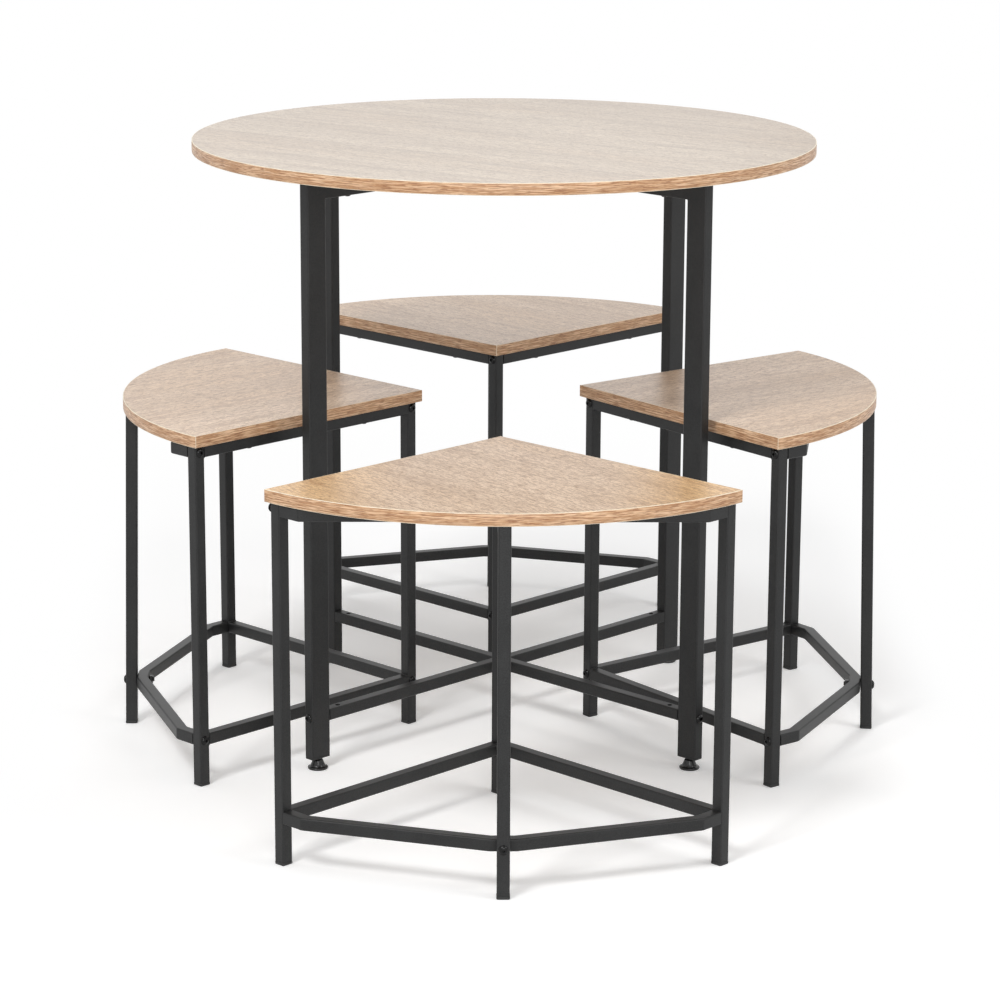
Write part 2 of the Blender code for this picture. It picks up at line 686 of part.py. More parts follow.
def build_stool(place):
    """Build one stool on an empty at its tip, which stands where the stool stands."""
    holder = bpy.data.objects.new(f"stool_{place}_holder", None)
    SET.objects.link(holder)
    holder.parent = TABLE_MIDDLE
    tip = Vector((*STOOL_TIPS[place], 0))
    if STOOL_EXTRA_TURNS[place]:
        pole = bpy.data.objects.new(f"stool_{place}_pole", None)
        SET.objects.link(pole)
        pole.parent = TABLE_MIDDLE
        pole.location = (*swing_pole(place), 0)
        holder.parent = pole
        tip = tip - Vector(pole.location)
    holder.location = tip
    holder.rotation_euler.z = math.radians(STOOL_NEST_TURNS[place] + STOOL_EXTRA_TURNS[place])
    prefix = f"stool_{place}"
    hand = STOOL_HANDS[place]
    seat(f"{prefix}_seat", holder)
    side_frame(f"{prefix}_welded_side_frame", holder, hand, True)
    side_frame(f"{prefix}_bolted_side_frame", holder, -hand, False)
    front_tube(f"{prefix}_upper_front_rail", holder, UPPER_CENTRE_HEIGHT, False)
    front_tube(f"{prefix}_foot_ring_front", holder, RING_CENTRE_HEIGHT, True)
    arc_leg(f"{prefix}_arc_leg", holder)
    welded, bolted = StoolSide(hand), StoolSide(-hand)
    leg_cap(f"{prefix}_cap_tip_leg", holder, welded.point(EDGE_INSET, EDGE_INSET, 0), welded.along)
    for label, side in (("welded", welded), ("bolted", bolted)):
        centre = side.point(CORNER_LEG_REACH, EDGE_INSET, 0)
        leg_cap(f"{prefix}_cap_{label}_corner_leg", holder, centre, side.along)
    leg_cap(f"{prefix}_cap_arc_leg", holder, Vector((ARC_LEG_FOOT_REACH, 0, 0)), Vector((1, 0, 0)))


def build_table():
    """Build the table: board, band, four leg frames with plugs and feet, and the stretcher."""
    pilots = [
        polar(reach, degrees, 0) for degrees in LEG_ANGLES.values() for reach in TOP_SCREW_REACHES
    ]
    outline = circle_outline(TABLE_RADIUS - BAND_THICKNESS - GAP)
    depth = TOP_SCREW_LENGTH - LEG_DEPTH
    board("table_top_board", outline, BOARD_BOTTOM, BOARD_THICKNESS, "oak_top", pilots, depth)
    edge_band("table_edge_band", circle_outline(TABLE_RADIUS), BOARD_BOTTOM, BOARD_THICKNESS)
    for corner, degrees in LEG_ANGLES.items():
        table_leg_frame(f"table_leg_frame_{corner}", degrees)
        leg_plug(f"table_leg_plug_{corner}", degrees)
        levelling_foot(f"table_levelling_foot_{corner}", degrees)
    cross_stretcher("table_cross_stretcher")


build_table()
for stool_place in STOOL_TIPS:
    build_stool(stool_place)
bpy.context.view_layer.update()
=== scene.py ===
"""Dress the round dining set: a round table and four quarter-round stools that nest under it.

Metres, +Z up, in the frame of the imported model. The table's sizes are counted from the middle
of the table, and a stool's from the tip of its seat with the arc towards +X.
"""

import json
import logging
import math
from dataclasses import dataclass, field
from enum import Enum
from typing import Callable, Iterable, Sequence

import bmesh
import bpy
from mathutils import Matrix, Vector

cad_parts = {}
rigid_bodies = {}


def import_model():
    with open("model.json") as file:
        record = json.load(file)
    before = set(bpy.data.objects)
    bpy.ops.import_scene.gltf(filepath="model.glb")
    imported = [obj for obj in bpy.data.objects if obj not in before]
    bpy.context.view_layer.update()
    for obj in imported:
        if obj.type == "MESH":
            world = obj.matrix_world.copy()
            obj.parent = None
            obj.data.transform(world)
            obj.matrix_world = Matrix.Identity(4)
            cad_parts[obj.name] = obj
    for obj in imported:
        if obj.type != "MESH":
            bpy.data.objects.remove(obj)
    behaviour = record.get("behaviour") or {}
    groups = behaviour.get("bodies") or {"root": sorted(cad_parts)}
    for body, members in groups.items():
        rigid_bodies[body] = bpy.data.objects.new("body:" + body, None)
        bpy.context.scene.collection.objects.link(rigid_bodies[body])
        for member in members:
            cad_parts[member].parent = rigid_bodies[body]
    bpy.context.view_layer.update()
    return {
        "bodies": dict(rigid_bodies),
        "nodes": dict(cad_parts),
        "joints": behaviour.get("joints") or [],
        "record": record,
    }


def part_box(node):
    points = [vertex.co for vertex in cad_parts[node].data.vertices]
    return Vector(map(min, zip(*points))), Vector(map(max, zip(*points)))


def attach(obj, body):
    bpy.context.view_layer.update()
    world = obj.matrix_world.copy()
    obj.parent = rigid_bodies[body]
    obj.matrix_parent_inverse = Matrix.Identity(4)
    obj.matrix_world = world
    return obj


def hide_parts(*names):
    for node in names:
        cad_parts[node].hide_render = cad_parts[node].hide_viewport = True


Colour = tuple[float, float, float]
Piece = bpy.types.Object
Socket = bpy.types.NodeSocket
Test = Callable[[object], bool]

LOG = logging.getLogger("dining_set")
EAST, NORTH, UP = Vector((1, 0, 0)), Vector((0, 1, 0)), Vector((0, 0, 1))
DIAGONAL = math.sqrt(0.5)
WHITE: Colour = (1.0, 1.0, 1.0)
STEEL = "black_steel"
PLASTIC = "black_plastic"

# cosine above which a face or an edge counts as lying in a direction
SQUARE_ON = 0.9
# gap between parts that are pushed together
GAP = 0.0003
# how close points are that count as one, and as lying in one plane
MERGE, FLUSH = 0.00003, 0.00004
# angles in degrees up to which flat boards, tubes and small parts are shaded smooth
BOARD_CREASE, TUBE_CREASE, SMALL_CREASE = 30, 32, 35


class Corner(Enum):
    """Corners of the table, each with the direction of its leg in degrees."""

    FRONT_LEFT = 225
    FRONT_RIGHT = 315
    BACK_LEFT = 135
    BACK_RIGHT = 45

    @property
    def label(self) -> str:
        """Return the corner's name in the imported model."""
        return self.name.lower()


class Hand(Enum):
    """Which side of a stool is welded to its tip leg, seen from the tip."""

    WELDED_LEFT = 1
    WELDED_RIGHT = -1


class Part(Enum):
    """Kinds of mesh element that can be picked in edit mode."""

    VERT = "VERT"
    EDGE = "EDGE"
    FACE = "FACE"


# hand tools


def put_down() -> None:
    """Leave edit mode and deselect everything."""
    if bpy.context.object and bpy.context.object.mode != "OBJECT":
        bpy.ops.object.mode_set(mode="OBJECT")
    bpy.ops.object.select_all(action="DESELECT")


def take(*pieces: Piece) -> None:
    """Select only some pieces, with the first one active.

    Args:
        *pieces: The pieces.
    """
    put_down()
    for piece in pieces:
        piece.select_set(True)
    bpy.context.view_layer.objects.active = pieces[0]


def rename(piece: Piece, name: str) -> Piece:
    """Give a piece and its mesh one name, and return the piece."""
    piece.name = piece.data.name = name
    return piece


def settle(name: str) -> Piece:
    """Name the primitive that was just added, with its place in its mesh."""
    bpy.ops.object.transform_apply(location=True, rotation=True, scale=True)
    return rename(bpy.context.object, name)


def disc(name: str, facets: int, radius: float, depth: float, middle: Vector, **more: object) -> Piece:
    """Add a cylinder to start a piece from.

    Args:
        name: The piece's name.
        facets: How many sides stand for its round.
        radius: Its radius.
        depth: Its length.
        middle: Where its middle is.
        **more: Further settings of the primitive.

    Returns:
        The cylinder.
    """
    put_down()
    bpy.ops.mesh.primitive_cylinder_add(vertices=facets, radius=radius, depth=depth, location=middle, **more)
    return settle(name)


def block(name: str, place: Matrix, size: Sequence[float]) -> Piece:
    """Add a box to start a piece from.

    Args:
        name: The piece's name.
        place: Where its middle is and how it is turned.
        size: Its sides along its own X, Y and Z.

    Returns:
        The box.
    """
    put_down()
    bpy.ops.mesh.primitive_cube_add(size=1, location=place.translation, rotation=place.to_euler(), scale=size)
    return settle(name)


def pick(piece: Piece, part: Part, test: Test) -> None:
    """Select in edit mode the elements of a piece that pass a test.

    Args:
        piece: The piece to work on.
        part: The kind of element to pick.
        test: Says of one element whether it is wanted.
    """
    if bpy.context.object != piece or piece.mode != "EDIT":
        take(piece)
        bpy.ops.object.mode_set(mode="EDIT")
    bpy.ops.mesh.select_mode(type=part.value)
    bpy.ops.mesh.select_all(action="DESELECT")
    shell = bmesh.from_edit_mesh(piece.data)
    shell.normal_update()
    for element in {Part.VERT: shell.verts, Part.EDGE: shell.edges, Part.FACE: shell.faces}[part]:
        if test(element):
            element.select_set(True)
    shell.select_flush_mode()
    bmesh.update_edit_mesh(piece.data)


def everything(element: object) -> bool:
    """Pass every element."""
    return True


def facing(way: Vector) -> Test:
    """Return the test for faces that look one way."""
    return lambda face: face.normal.dot(way) > SQUARE_ON


def rise(edge: bmesh.types.BMEdge) -> float:
    """Return how far apart in height the ends of an edge are."""
    return abs(edge.verts[0].co.z - edge.verts[1].co.z)


def draw_out(by: Sequence[float]) -> None:
    """Extrude the picked faces and move them."""
    bpy.ops.mesh.extrude_region_move(TRANSFORM_OT_translate={"value": by})


def saw(piece: Piece, point: Vector, normal: Vector, fill: bool = False) -> None:
    """Cut off what lies beyond a plane.

    Args:
        piece: The piece to cut.
        point: A point of the plane.
        normal: The plane's normal, towards the part that falls off.
        fill: Whether the cut is closed with a face.
    """
    pick(piece, Part.FACE, everything)
    bpy.ops.mesh.bisect(plane_co=point, plane_no=normal, use_fill=fill, clear_outer=True)
    put_down()


def apply(piece: Piece, kind: str, **settings: object) -> None:
    """Add a modifier to a piece and apply it at once.

    Args:
        piece: The piece to work on.
        kind: Blender's name of the modifier type.
        **settings: The modifier's settings.
    """
    take(piece)
    bpy.ops.object.modifier_add(type=kind)
    modifier = piece.modifiers[-1]
    for key, value in settings.items():
        setattr(modifier, key, value)
    bpy.ops.object.modifier_apply(modifier=modifier.name)


def carve(piece: Piece, operation: str, other: Piece) -> None:
    """Work another piece into a piece by a Boolean operation, and use the other up."""
    apply(piece, "BOOLEAN", operation=operation, solver="EXACT", object=other)
    scrap([other])


def soften(piece: Piece, width: float, degrees: float, segments: int = 2) -> None:
    """Round the edges of a piece that are sharper than an angle."""
    limit = math.radians(degrees)
    apply(piece, "BEVEL", width=width, segments=segments, limit_method="ANGLE", angle_limit=limit)


def smooth(piece: Piece, degrees: float) -> Piece:
    """Shade a piece smooth where its faces meet at less than an angle.

    Args:
        piece: The piece.
        degrees: The angle.

    Returns:
        The piece.
    """
    take(piece)
    bpy.ops.object.shade_smooth_by_angle(angle=math.radians(degrees))
    return piece


def dress(piece: Piece, *finishes: bpy.types.Material) -> Piece:
    """Give a piece its finishes.

    Args:
        piece: The piece.
        *finishes: The finishes in the order of its slots.

    Returns:
        The piece.
    """
    piece.data.materials.clear()
    for finish in finishes:
        piece.data.materials.append(finish)
    return piece


def gather(name: str, pieces: Sequence[Piece]) -> Piece:
    """Join several pieces into one.

    Args:
        name: The name of the joined piece.
        pieces: The pieces; the first one keeps its materials' order.

    Returns:
        The joined piece.
    """
    take(*pieces)
    bpy.ops.object.join()
    return rename(bpy.context.object, name)


def copy_to(piece: Piece, name: str, place: Matrix) -> Piece:
    """Copy a piece with its own mesh to another place.

    Args:
        piece: The piece to copy.
        name: The copy's name.
        place: Where the copy goes, a mirroring place included.

    Returns:
        The copy, with its place in its mesh.
    """
    take(piece)
    bpy.ops.object.duplicate()
    twin = rename(bpy.context.object, name)
    twin.data.transform(place)
    if place.determinant() < 0:
        twin.data.flip_normals()
    return twin


def turned(start: Vector, axis: Vector, side: Vector) -> Matrix:
    """Return a place with its own directions.

    Args:
        start: Where it is.
        axis: Where its Z points.
        side: Where its X points.

    Returns:
        The place.
    """
    axis, side = axis.normalized(), side.normalized()
    place = Matrix((side, axis.cross(side), axis)).transposed().to_4x4()
    place.translation = start
    return place


def spun(radians: float) -> Matrix:
    """Return a turn about Z."""
    return Matrix.Rotation(radians, 4, "Z")


def heading(degrees: float) -> Vector:
    """Return the level direction at an angle from +X."""
    return spun(math.radians(degrees)) @ EAST


def scrap(pieces: Iterable[Piece]) -> None:
    """Remove pieces that were only copied or used up."""
    for piece in list(pieces):
        bpy.data.objects.remove(piece, do_unlink=True)


# finishes


class NodeDesk:
    """The shader nodes of one material or world, added and linked by name."""

    def __init__(self, owner: bpy.types.ID) -> None:
        """Open the nodes of a material or a world.

        Args:
            owner: What the nodes belong to.
        """
        owner.use_nodes = True
        self.owner = owner
        self.tree = owner.node_tree
        self.shader = self.tree.nodes.get("Principled BSDF")

    def plug(self, value: object, entry: Socket) -> None:
        """Link an input to a socket, or set it once and for all.

        Args:
            value: The socket or the constant; a colour has three numbers.
            entry: The input.
        """
        if isinstance(value, Socket):
            self.tree.links.new(value, entry)
        else:
            entry.default_value = (*value, 1) if entry.type == "RGBA" else value

    def node(self, kind: str, inputs: dict | None = None, **settings: object) -> bpy.types.Node:
        """Add a node.

        Args:
            kind: The node's type, without the words that all shader nodes begin with.
            inputs: Values or sockets for its inputs, by name or place.
            **settings: The node's own settings.

        Returns:
            The new node.
        """
        node = self.tree.nodes.new(f"ShaderNode{kind}")
        for key, value in settings.items():
            setattr(node, key, value)
        for key, value in (inputs or {}).items():
            self.plug(value, node.inputs[key])
        return node

    def place(self) -> Socket:
        """Return the coordinates of the object."""
        return self.node("TexCoord").outputs["Object"]

    def mapped(self, vector: Socket, **changes: Sequence[float]) -> Socket:
        """Return coordinates with a Location, Rotation or Scale."""
        return self.node("Mapping", {"Vector": vector, **changes}).outputs["Vector"]

    def noise(self, vector: Socket, scale: float, detail: float, rough: float) -> Socket:
        """Add a noise texture and return its value."""
        inputs = {"Vector": vector, "Scale": scale, "Detail": detail, "Roughness": rough}
        return self.node("TexNoise", inputs).outputs["Fac"]

    def band(self, value: Socket, low: float, high: float) -> Socket:
        """Return 0 below low, 1 above high and a smooth rise between."""
        inputs = {"Value": value, "From Min": low, "From Max": high}
        return self.node("MapRange", inputs, interpolation_type="SMOOTHSTEP").outputs["Result"]

    def math(self, operation: str, first: object, second: object = 0.0) -> Socket:
        """Return one sum, product or other step of two values."""
        return self.node("Math", {0: first, 1: second}, operation=operation).outputs["Value"]

    def scaled(self, value: Socket, factor: float, offset: object) -> Socket:
        """Return a value times a factor, plus an offset."""
        return self.math("ADD", self.math("MULTIPLY", value, factor), offset)

    def around(self, value: Socket, level: float, swing: float) -> Socket:
        """Return a level that a value from 0 to 1 lets swing to both sides."""
        return self.scaled(value, swing, level - swing / 2)

    def mix(self, share: object, first: object, second: object, blend: str = "MIX") -> Socket:
        """Return two colours mixed by a share."""
        inputs = {"Factor": share, 6: first, 7: second}
        return self.node("Mix", inputs, data_type="RGBA", blend_type=blend).outputs[2]

    def mottled(self, cloud: Socket, first: Colour, second: Colour) -> Socket:
        """Return a colour that drifts between two with a noise."""
        return self.mix(self.band(cloud, 0.35, 0.65), first, second)

    def layered(self, ground: Colour, layers: Iterable[tuple[Socket, float, Colour]]) -> Socket:
        """Lay colours over a ground.

        Args:
            ground: The colour underneath.
            layers: Of each layer where it lies, how much it covers there and its colour.

        Returns:
            The colour of them all.
        """
        tone = ground
        for where, share, colour in layers:
            tone = self.mix(self.math("MULTIPLY", where, share), tone, colour)
        return tone

    def feed(self, values: dict[str, object]) -> None:
        """Link or set inputs of the Principled shader."""
        for name, value in values.items():
            self.plug(value, self.shader.inputs[name])

    def bump(self, height: Socket, strength: float, distance: float) -> None:
        """Let a height stand out on the shader."""
        inputs = {"Height": height, "Strength": strength, "Distance": distance}
        self.feed({"Normal": self.node("Bump", inputs).outputs["Normal"]})


@dataclass(frozen=True)
class Grain:
    """Noise drawn out along the grain, and the levels between which it begins to show."""

    along: float
    across: float
    detail: float = 1.0
    rough: float = 0.5
    low: float = 0.0
    high: float = 1.0

    def noise(self, desk: NodeDesk, run: Socket) -> Socket:
        """Return the noise over coordinates whose X runs along the grain."""
        return desk.noise(self.drawn(desk, run), 1.0, self.detail, self.rough)

    def drawn(self, desk: NodeDesk, run: Socket) -> Socket:
        """Return the coordinates with the grain's own density."""
        return desk.mapped(run, Scale=(self.along, self.across, self.across))

    def marks(self, desk: NodeDesk, noise: Socket) -> Socket:
        """Return where the noise shows."""
        return desk.band(noise, self.low, self.high)

    def sway(self, desk: NodeDesk, run: Socket, width: float) -> Socket:
        """Bend straight grain a little to the sides.

        Args:
            desk: The desk to work at.
            run: The coordinates of the straight grain.
            width: How wide the grain sways.

        Returns:
            The flat coordinates of the bent grain.
        """
        parts = desk.node("SeparateXYZ", {"Vector": run}).outputs
        drift = desk.math("MULTIPLY", desk.math("SUBTRACT", self.noise(desk, run), 0.5), width)
        across = desk.math("ADD", parts["Y"], drift)
        return desk.node("CombineXYZ", {"X": parts["X"], "Y": across}).outputs["Vector"]


@dataclass(frozen=True)
class Finish:
    """What all finishes share: a name, and a material that is laid out in nodes."""

    name: str

    def make(self) -> bpy.types.Material:
        """Return the material."""
        desk = NodeDesk(bpy.data.materials.new(self.name))
        self.lay(desk)
        return desk.owner

    def lay(self, desk: NodeDesk) -> None:
        """Lay the finish out at a desk, each kind in its own way."""
        raise NotImplementedError(self.name)


@dataclass(frozen=True)
class OakTones:
    """The colours of an oak print, and how crisp its dark marks are."""

    light: Colour
    mid: Colour
    streak: Colour
    pore: Colour
    warm: Colour
    crisp: float


TOP_TONES = OakTones(
    light=(0.63, 0.52, 0.40), mid=(0.52, 0.415, 0.315), streak=(0.375, 0.285, 0.215),
    pore=(0.30, 0.22, 0.165), warm=(0.58, 0.445, 0.32), crisp=0.66,
)
# the seats' own warmer oak, lightened beyond the top's as painted light that makes up for the shade the table
# top casts over the seats
SEAT_TONES_WITH_PAINTED_LIGHT = OakTones(
    light=(0.83, 0.63, 0.455), mid=(0.70, 0.515, 0.355), streak=(0.49, 0.315, 0.195),
    pore=(0.35, 0.20, 0.11), warm=(0.76, 0.525, 0.32), crisp=0.78,
)


@dataclass(frozen=True)
class OakDecor(Finish):
    """Printed pale oak on the faces of a board, with the grain in one direction, and where asked a painted
    reflection at its sides.
    """

    tones: OakTones
    middle: Vector
    degrees: float
    shift: tuple[float, float]
    # painted reflection: tints the print warmer and more saturated towards both sides of the seat, standing
    # in for the reflection of the dark table legs
    amber: float = 0.0
    amber_tint: Colour = (1.20, 1.07, 0.78)
    amber_aside: tuple[float, float] = (0.10, 0.24)
    bends: Grain = Grain(2.6, 9.0, 3.0)
    bend_width: float = 0.022
    plank: Grain = Grain(1.3, 15.0, 2.0, 0.5, 0.34, 0.64)
    warmth: Grain = Grain(2.0, 7.0, 2.0, 0.5, 0.46, 0.66)
    stripe: Grain = Grain(4.5, 62.0, 4.0, 0.62, 0.52, 0.64)
    line: Grain = Grain(15.0, 170.0, 3.0, 0.6, 0.52, 0.60)
    fleck: Grain = Grain(66.0, 540.0, 1.0, 0.5, 0.53, 0.58)
    fibre: Grain = Grain(80.0, 640.0, 3.0, 0.65, 0.50, 0.64)
    dash: Grain = Grain(190.0, 900.0, 1.0, 0.5, 0.56, 0.66)
    arch: Grain = Grain(1.5, 11.0, low=0.60, high=0.92)
    arched_planks: tuple[float, float] = (0.52, 0.62)
    roughness: float = 0.30
    specular: float = 0.5

    def lay(self, desk: NodeDesk) -> None:
        """Lay ever finer marks over each other, from planks to pores.

        Args:
            desk: The desk of the material.
        """
        tones = self.tones
        centred = desk.mapped(desk.place(), Location=-self.middle)
        turn = math.radians(-self.degrees)
        straight = desk.mapped(centred, Rotation=(0, 0, turn), Location=(*self.shift, 0))
        wavy = self.bends.sway(desk, straight, self.bend_width)
        plank, warmth, stripe, line, fleck, fibre, dash = [grain.noise(desk, wavy) for grain in (
            self.plank, self.warmth, self.stripe, self.line, self.fleck, self.fibre, self.dash,
        )]
        ripples = {
            "Vector": self.arch.drawn(desk, wavy), "Scale": 2.4, "Distortion": 6.0, "Detail": 2.0,
            "Detail Scale": 1.4,
        }
        arches = self.arch.marks(desk, desk.node("TexWave", ripples, bands_direction="Y").outputs["Fac"])
        pores = self.dash.marks(desk, dash)
        tone = desk.layered(tones.light, (
            (self.plank.marks(desk, plank), 1.0, tones.mid),
            (self.warmth.marks(desk, warmth), 0.55, tones.warm),
            (self.stripe.marks(desk, stripe), 0.62, tones.streak),
            (desk.math("MULTIPLY", desk.band(plank, *self.arched_planks), arches), 0.35, tones.streak),
            (self.line.marks(desk, line), 0.70 * tones.crisp, tones.streak),
            (self.fleck.marks(desk, fleck), 0.95 * tones.crisp, tones.pore),
            (self.fibre.marks(desk, fibre), 0.45, tones.light),
            (pores, tones.crisp, tones.pore),
        ))
        # painted reflection of the dark table legs: the colour is tinted warmer at both sides of the line
        # through the tip
        if self.amber:
            aside = desk.math("ABSOLUTE", desk.node("SeparateXYZ", {"Vector": centred}).outputs["X"])
            share = desk.math("MULTIPLY", desk.band(aside, *self.amber_aside), self.amber)
            tone = desk.mix(share, tone, self.amber_tint, "MULTIPLY")
        desk.feed({
            "Base Color": tone,
            "Roughness": desk.scaled(pores, 0.12, desk.around(fibre, self.roughness, 0.08)),
            "Specular IOR Level": self.specular,
        })
        desk.bump(desk.math("SUBTRACT", desk.math("MULTIPLY", fibre, 0.35), pores), 0.30, 0.00012)


@dataclass(frozen=True)
class EdgeBandDecor(Finish):
    """Warm oak printed on an edge band, with the grain along the band's own run."""

    name: str = "edge_band_oak"
    light: Colour = (0.76, 0.51, 0.32)
    mid: Colour = (0.48, 0.26, 0.130)
    dark: Colour = (0.25, 0.10, 0.040)
    bends: Grain = Grain(18.0, 60.0, 2.0)
    bend_width: float = 0.0030
    line: Grain = Grain(24.0, 640.0, 1.0, 0.5, 0.44, 0.55)
    broad: Grain = Grain(10.0, 120.0, 2.0, 0.5, 0.44, 0.62)
    dash: Grain = Grain(58.0, 980.0, 1.0, 0.5, 0.52, 0.59)
    fleck: Grain = Grain(170.0, 1300.0, 2.0, 0.5, 0.54, 0.64)
    roughness: float = 0.40

    def lay(self, desk: NodeDesk) -> None:
        """Lay lines, broad stripes, dashes and flecks over each other.

        Args:
            desk: The desk of the material.
        """
        run = desk.node("UVMap", uv_map="band_run").outputs["UV"]
        wavy = self.bends.sway(desk, run, self.bend_width)
        line = self.line.noise(desk, wavy)
        layers = [(self.line.marks(desk, line), 1.0, self.mid)]
        for grain, share, colour in (
            (self.broad, 0.35, self.mid), (self.dash, 0.70, self.dark), (self.fleck, 0.35, self.light),
        ):
            layers.append((grain.marks(desk, grain.noise(desk, wavy)), share, colour))
        desk.feed({
            "Base Color": desk.layered(self.light, layers),
            "Roughness": desk.around(line, self.roughness, 0.12),
        })
        desk.bump(line, 0.20, 0.00015)


@dataclass(frozen=True)
class BandCore(Finish):
    """The pale plastic of an edge band where its thickness shows."""

    name: str = "edge_band_core"
    pale: Colour = (0.92, 0.84, 0.68)
    warm: Colour = (0.86, 0.74, 0.55)
    roughness: float = 0.455

    def lay(self, desk: NodeDesk) -> None:
        """Lay the finish out.

        Args:
            desk: The desk of the material.
        """
        cloud = desk.noise(desk.place(), 90.0, 3.0, 0.55)
        desk.feed({
            "Base Color": desk.mottled(cloud, self.pale, self.warm),
            "Roughness": desk.around(cloud, self.roughness, 0.15),
        })


@dataclass(frozen=True)
class PowderCoat(Finish):
    """Matt charcoal powder coat with a fine orange peel."""

    name: str = "charcoal_powder_coat"
    shade: Colour = (0.0085, 0.0086, 0.0086)
    pale: Colour = (0.0190, 0.0193, 0.0194)
    roughness: float = 0.40
    specular: float = 0.38

    def lay(self, desk: NodeDesk) -> None:
        """Lay the finish out.

        Args:
            desk: The desk of the material.
        """
        place = desk.place()
        grain = desk.noise(place, 700.0, 3.0, 0.65)
        peel = desk.noise(place, 420.0, 2.0, 0.5)
        cloud = desk.noise(place, 24.0, 3.0, 0.5)
        share = desk.scaled(grain, 0.7, desk.math("MULTIPLY", cloud, 0.3))
        desk.feed({
            "Base Color": desk.mix(desk.band(share, 0.38, 0.62), self.shade, self.pale),
            "Roughness": desk.scaled(grain, 0.06, desk.around(cloud, self.roughness, 0.08)),
            "Specular IOR Level": self.specular,
        })
        desk.bump(desk.scaled(grain, 0.35, peel), 0.16, 0.0003)


@dataclass(frozen=True)
class BlackBolt(Finish):
    """Blackened steel of the bolts and screws, worn a little at the edges of the drive."""

    shade: Colour = (0.0016, 0.0016, 0.0018)
    worn: Colour = (0.016, 0.015, 0.014)
    roughness: float = 0.20
    specular: float = 0.05
    oil: float = 0.50
    oil_roughness: float = 0.02

    def lay(self, desk: NodeDesk) -> None:
        """Lay the finish out.

        Args:
            desk: The desk of the material.
        """
        speck = desk.noise(desk.place(), 2600.0, 3.0, 0.6)
        edge = desk.node("NewGeometry").outputs["Pointiness"]
        wear = desk.math("MULTIPLY", desk.band(edge, 0.52, 0.60), desk.band(speck, 0.45, 0.60))
        desk.feed({
            "Base Color": desk.mix(wear, self.shade, self.worn),
            "Specular IOR Level": self.specular,
            "Coat Weight": self.oil,
            "Coat Roughness": self.oil_roughness,
            "Roughness": desk.around(speck, self.roughness, 0.14),
        })
        desk.bump(speck, 0.06, 0.0001)


@dataclass(frozen=True)
class MouldedPlastic(Finish):
    """Black moulded plastic of caps, plugs and feet."""

    shade: Colour
    pale: Colour
    roughness: float
    grain: float
    relief: float

    def lay(self, desk: NodeDesk) -> None:
        """Lay the finish out.

        Args:
            desk: The desk of the material.
        """
        place = desk.place()
        grain = desk.noise(place, self.grain, 3.0, 0.55)
        desk.feed({
            "Base Color": desk.mottled(desk.noise(place, 160.0, 2.0, 0.5), self.shade, self.pale),
            "Roughness": desk.around(grain, self.roughness, 0.12),
        })
        desk.bump(grain, self.relief, 0.0002)


@dataclass(frozen=True)
class BlackZinc(Finish):
    """Black zinc plate on the threaded stems."""

    name: str = "black_zinc"
    shade: Colour = (0.050, 0.050, 0.053)
    pale: Colour = (0.105, 0.104, 0.100)
    roughness: float = 0.28

    def lay(self, desk: NodeDesk) -> None:
        """Lay the finish out.

        Args:
            desk: The desk of the material.
        """
        cloud = desk.noise(desk.place(), 420.0, 3.0, 0.6)
        desk.feed({
            "Base Color": desk.mottled(cloud, self.shade, self.pale),
            "Metallic": 1.0,
            "Roughness": desk.around(cloud, self.roughness, 0.16),
        })


class Finishes:
    """Every finish that several pieces share, made once."""

    def __init__(self) -> None:
        """Make the finishes."""
        self.band = EdgeBandDecor().make()
        self.band_core = BandCore().make()
        self.powder = PowderCoat().make()
        self.bolt = BlackBolt("black_bolt").make()
        self.screw = BlackBolt("black_screw", roughness=0.34).make()
        self.cap = MouldedPlastic(
            "cap_plastic", (0.012, 0.012, 0.012), (0.018, 0.018, 0.018), 0.48, 1400.0, 0.20
        ).make()
        self.foot = MouldedPlastic(
            "foot_plastic", (0.008, 0.008, 0.009), (0.013, 0.013, 0.013), 0.20, 900.0, 0.08
        ).make()
        self.zinc = BlackZinc().make()


# shapes that repeat


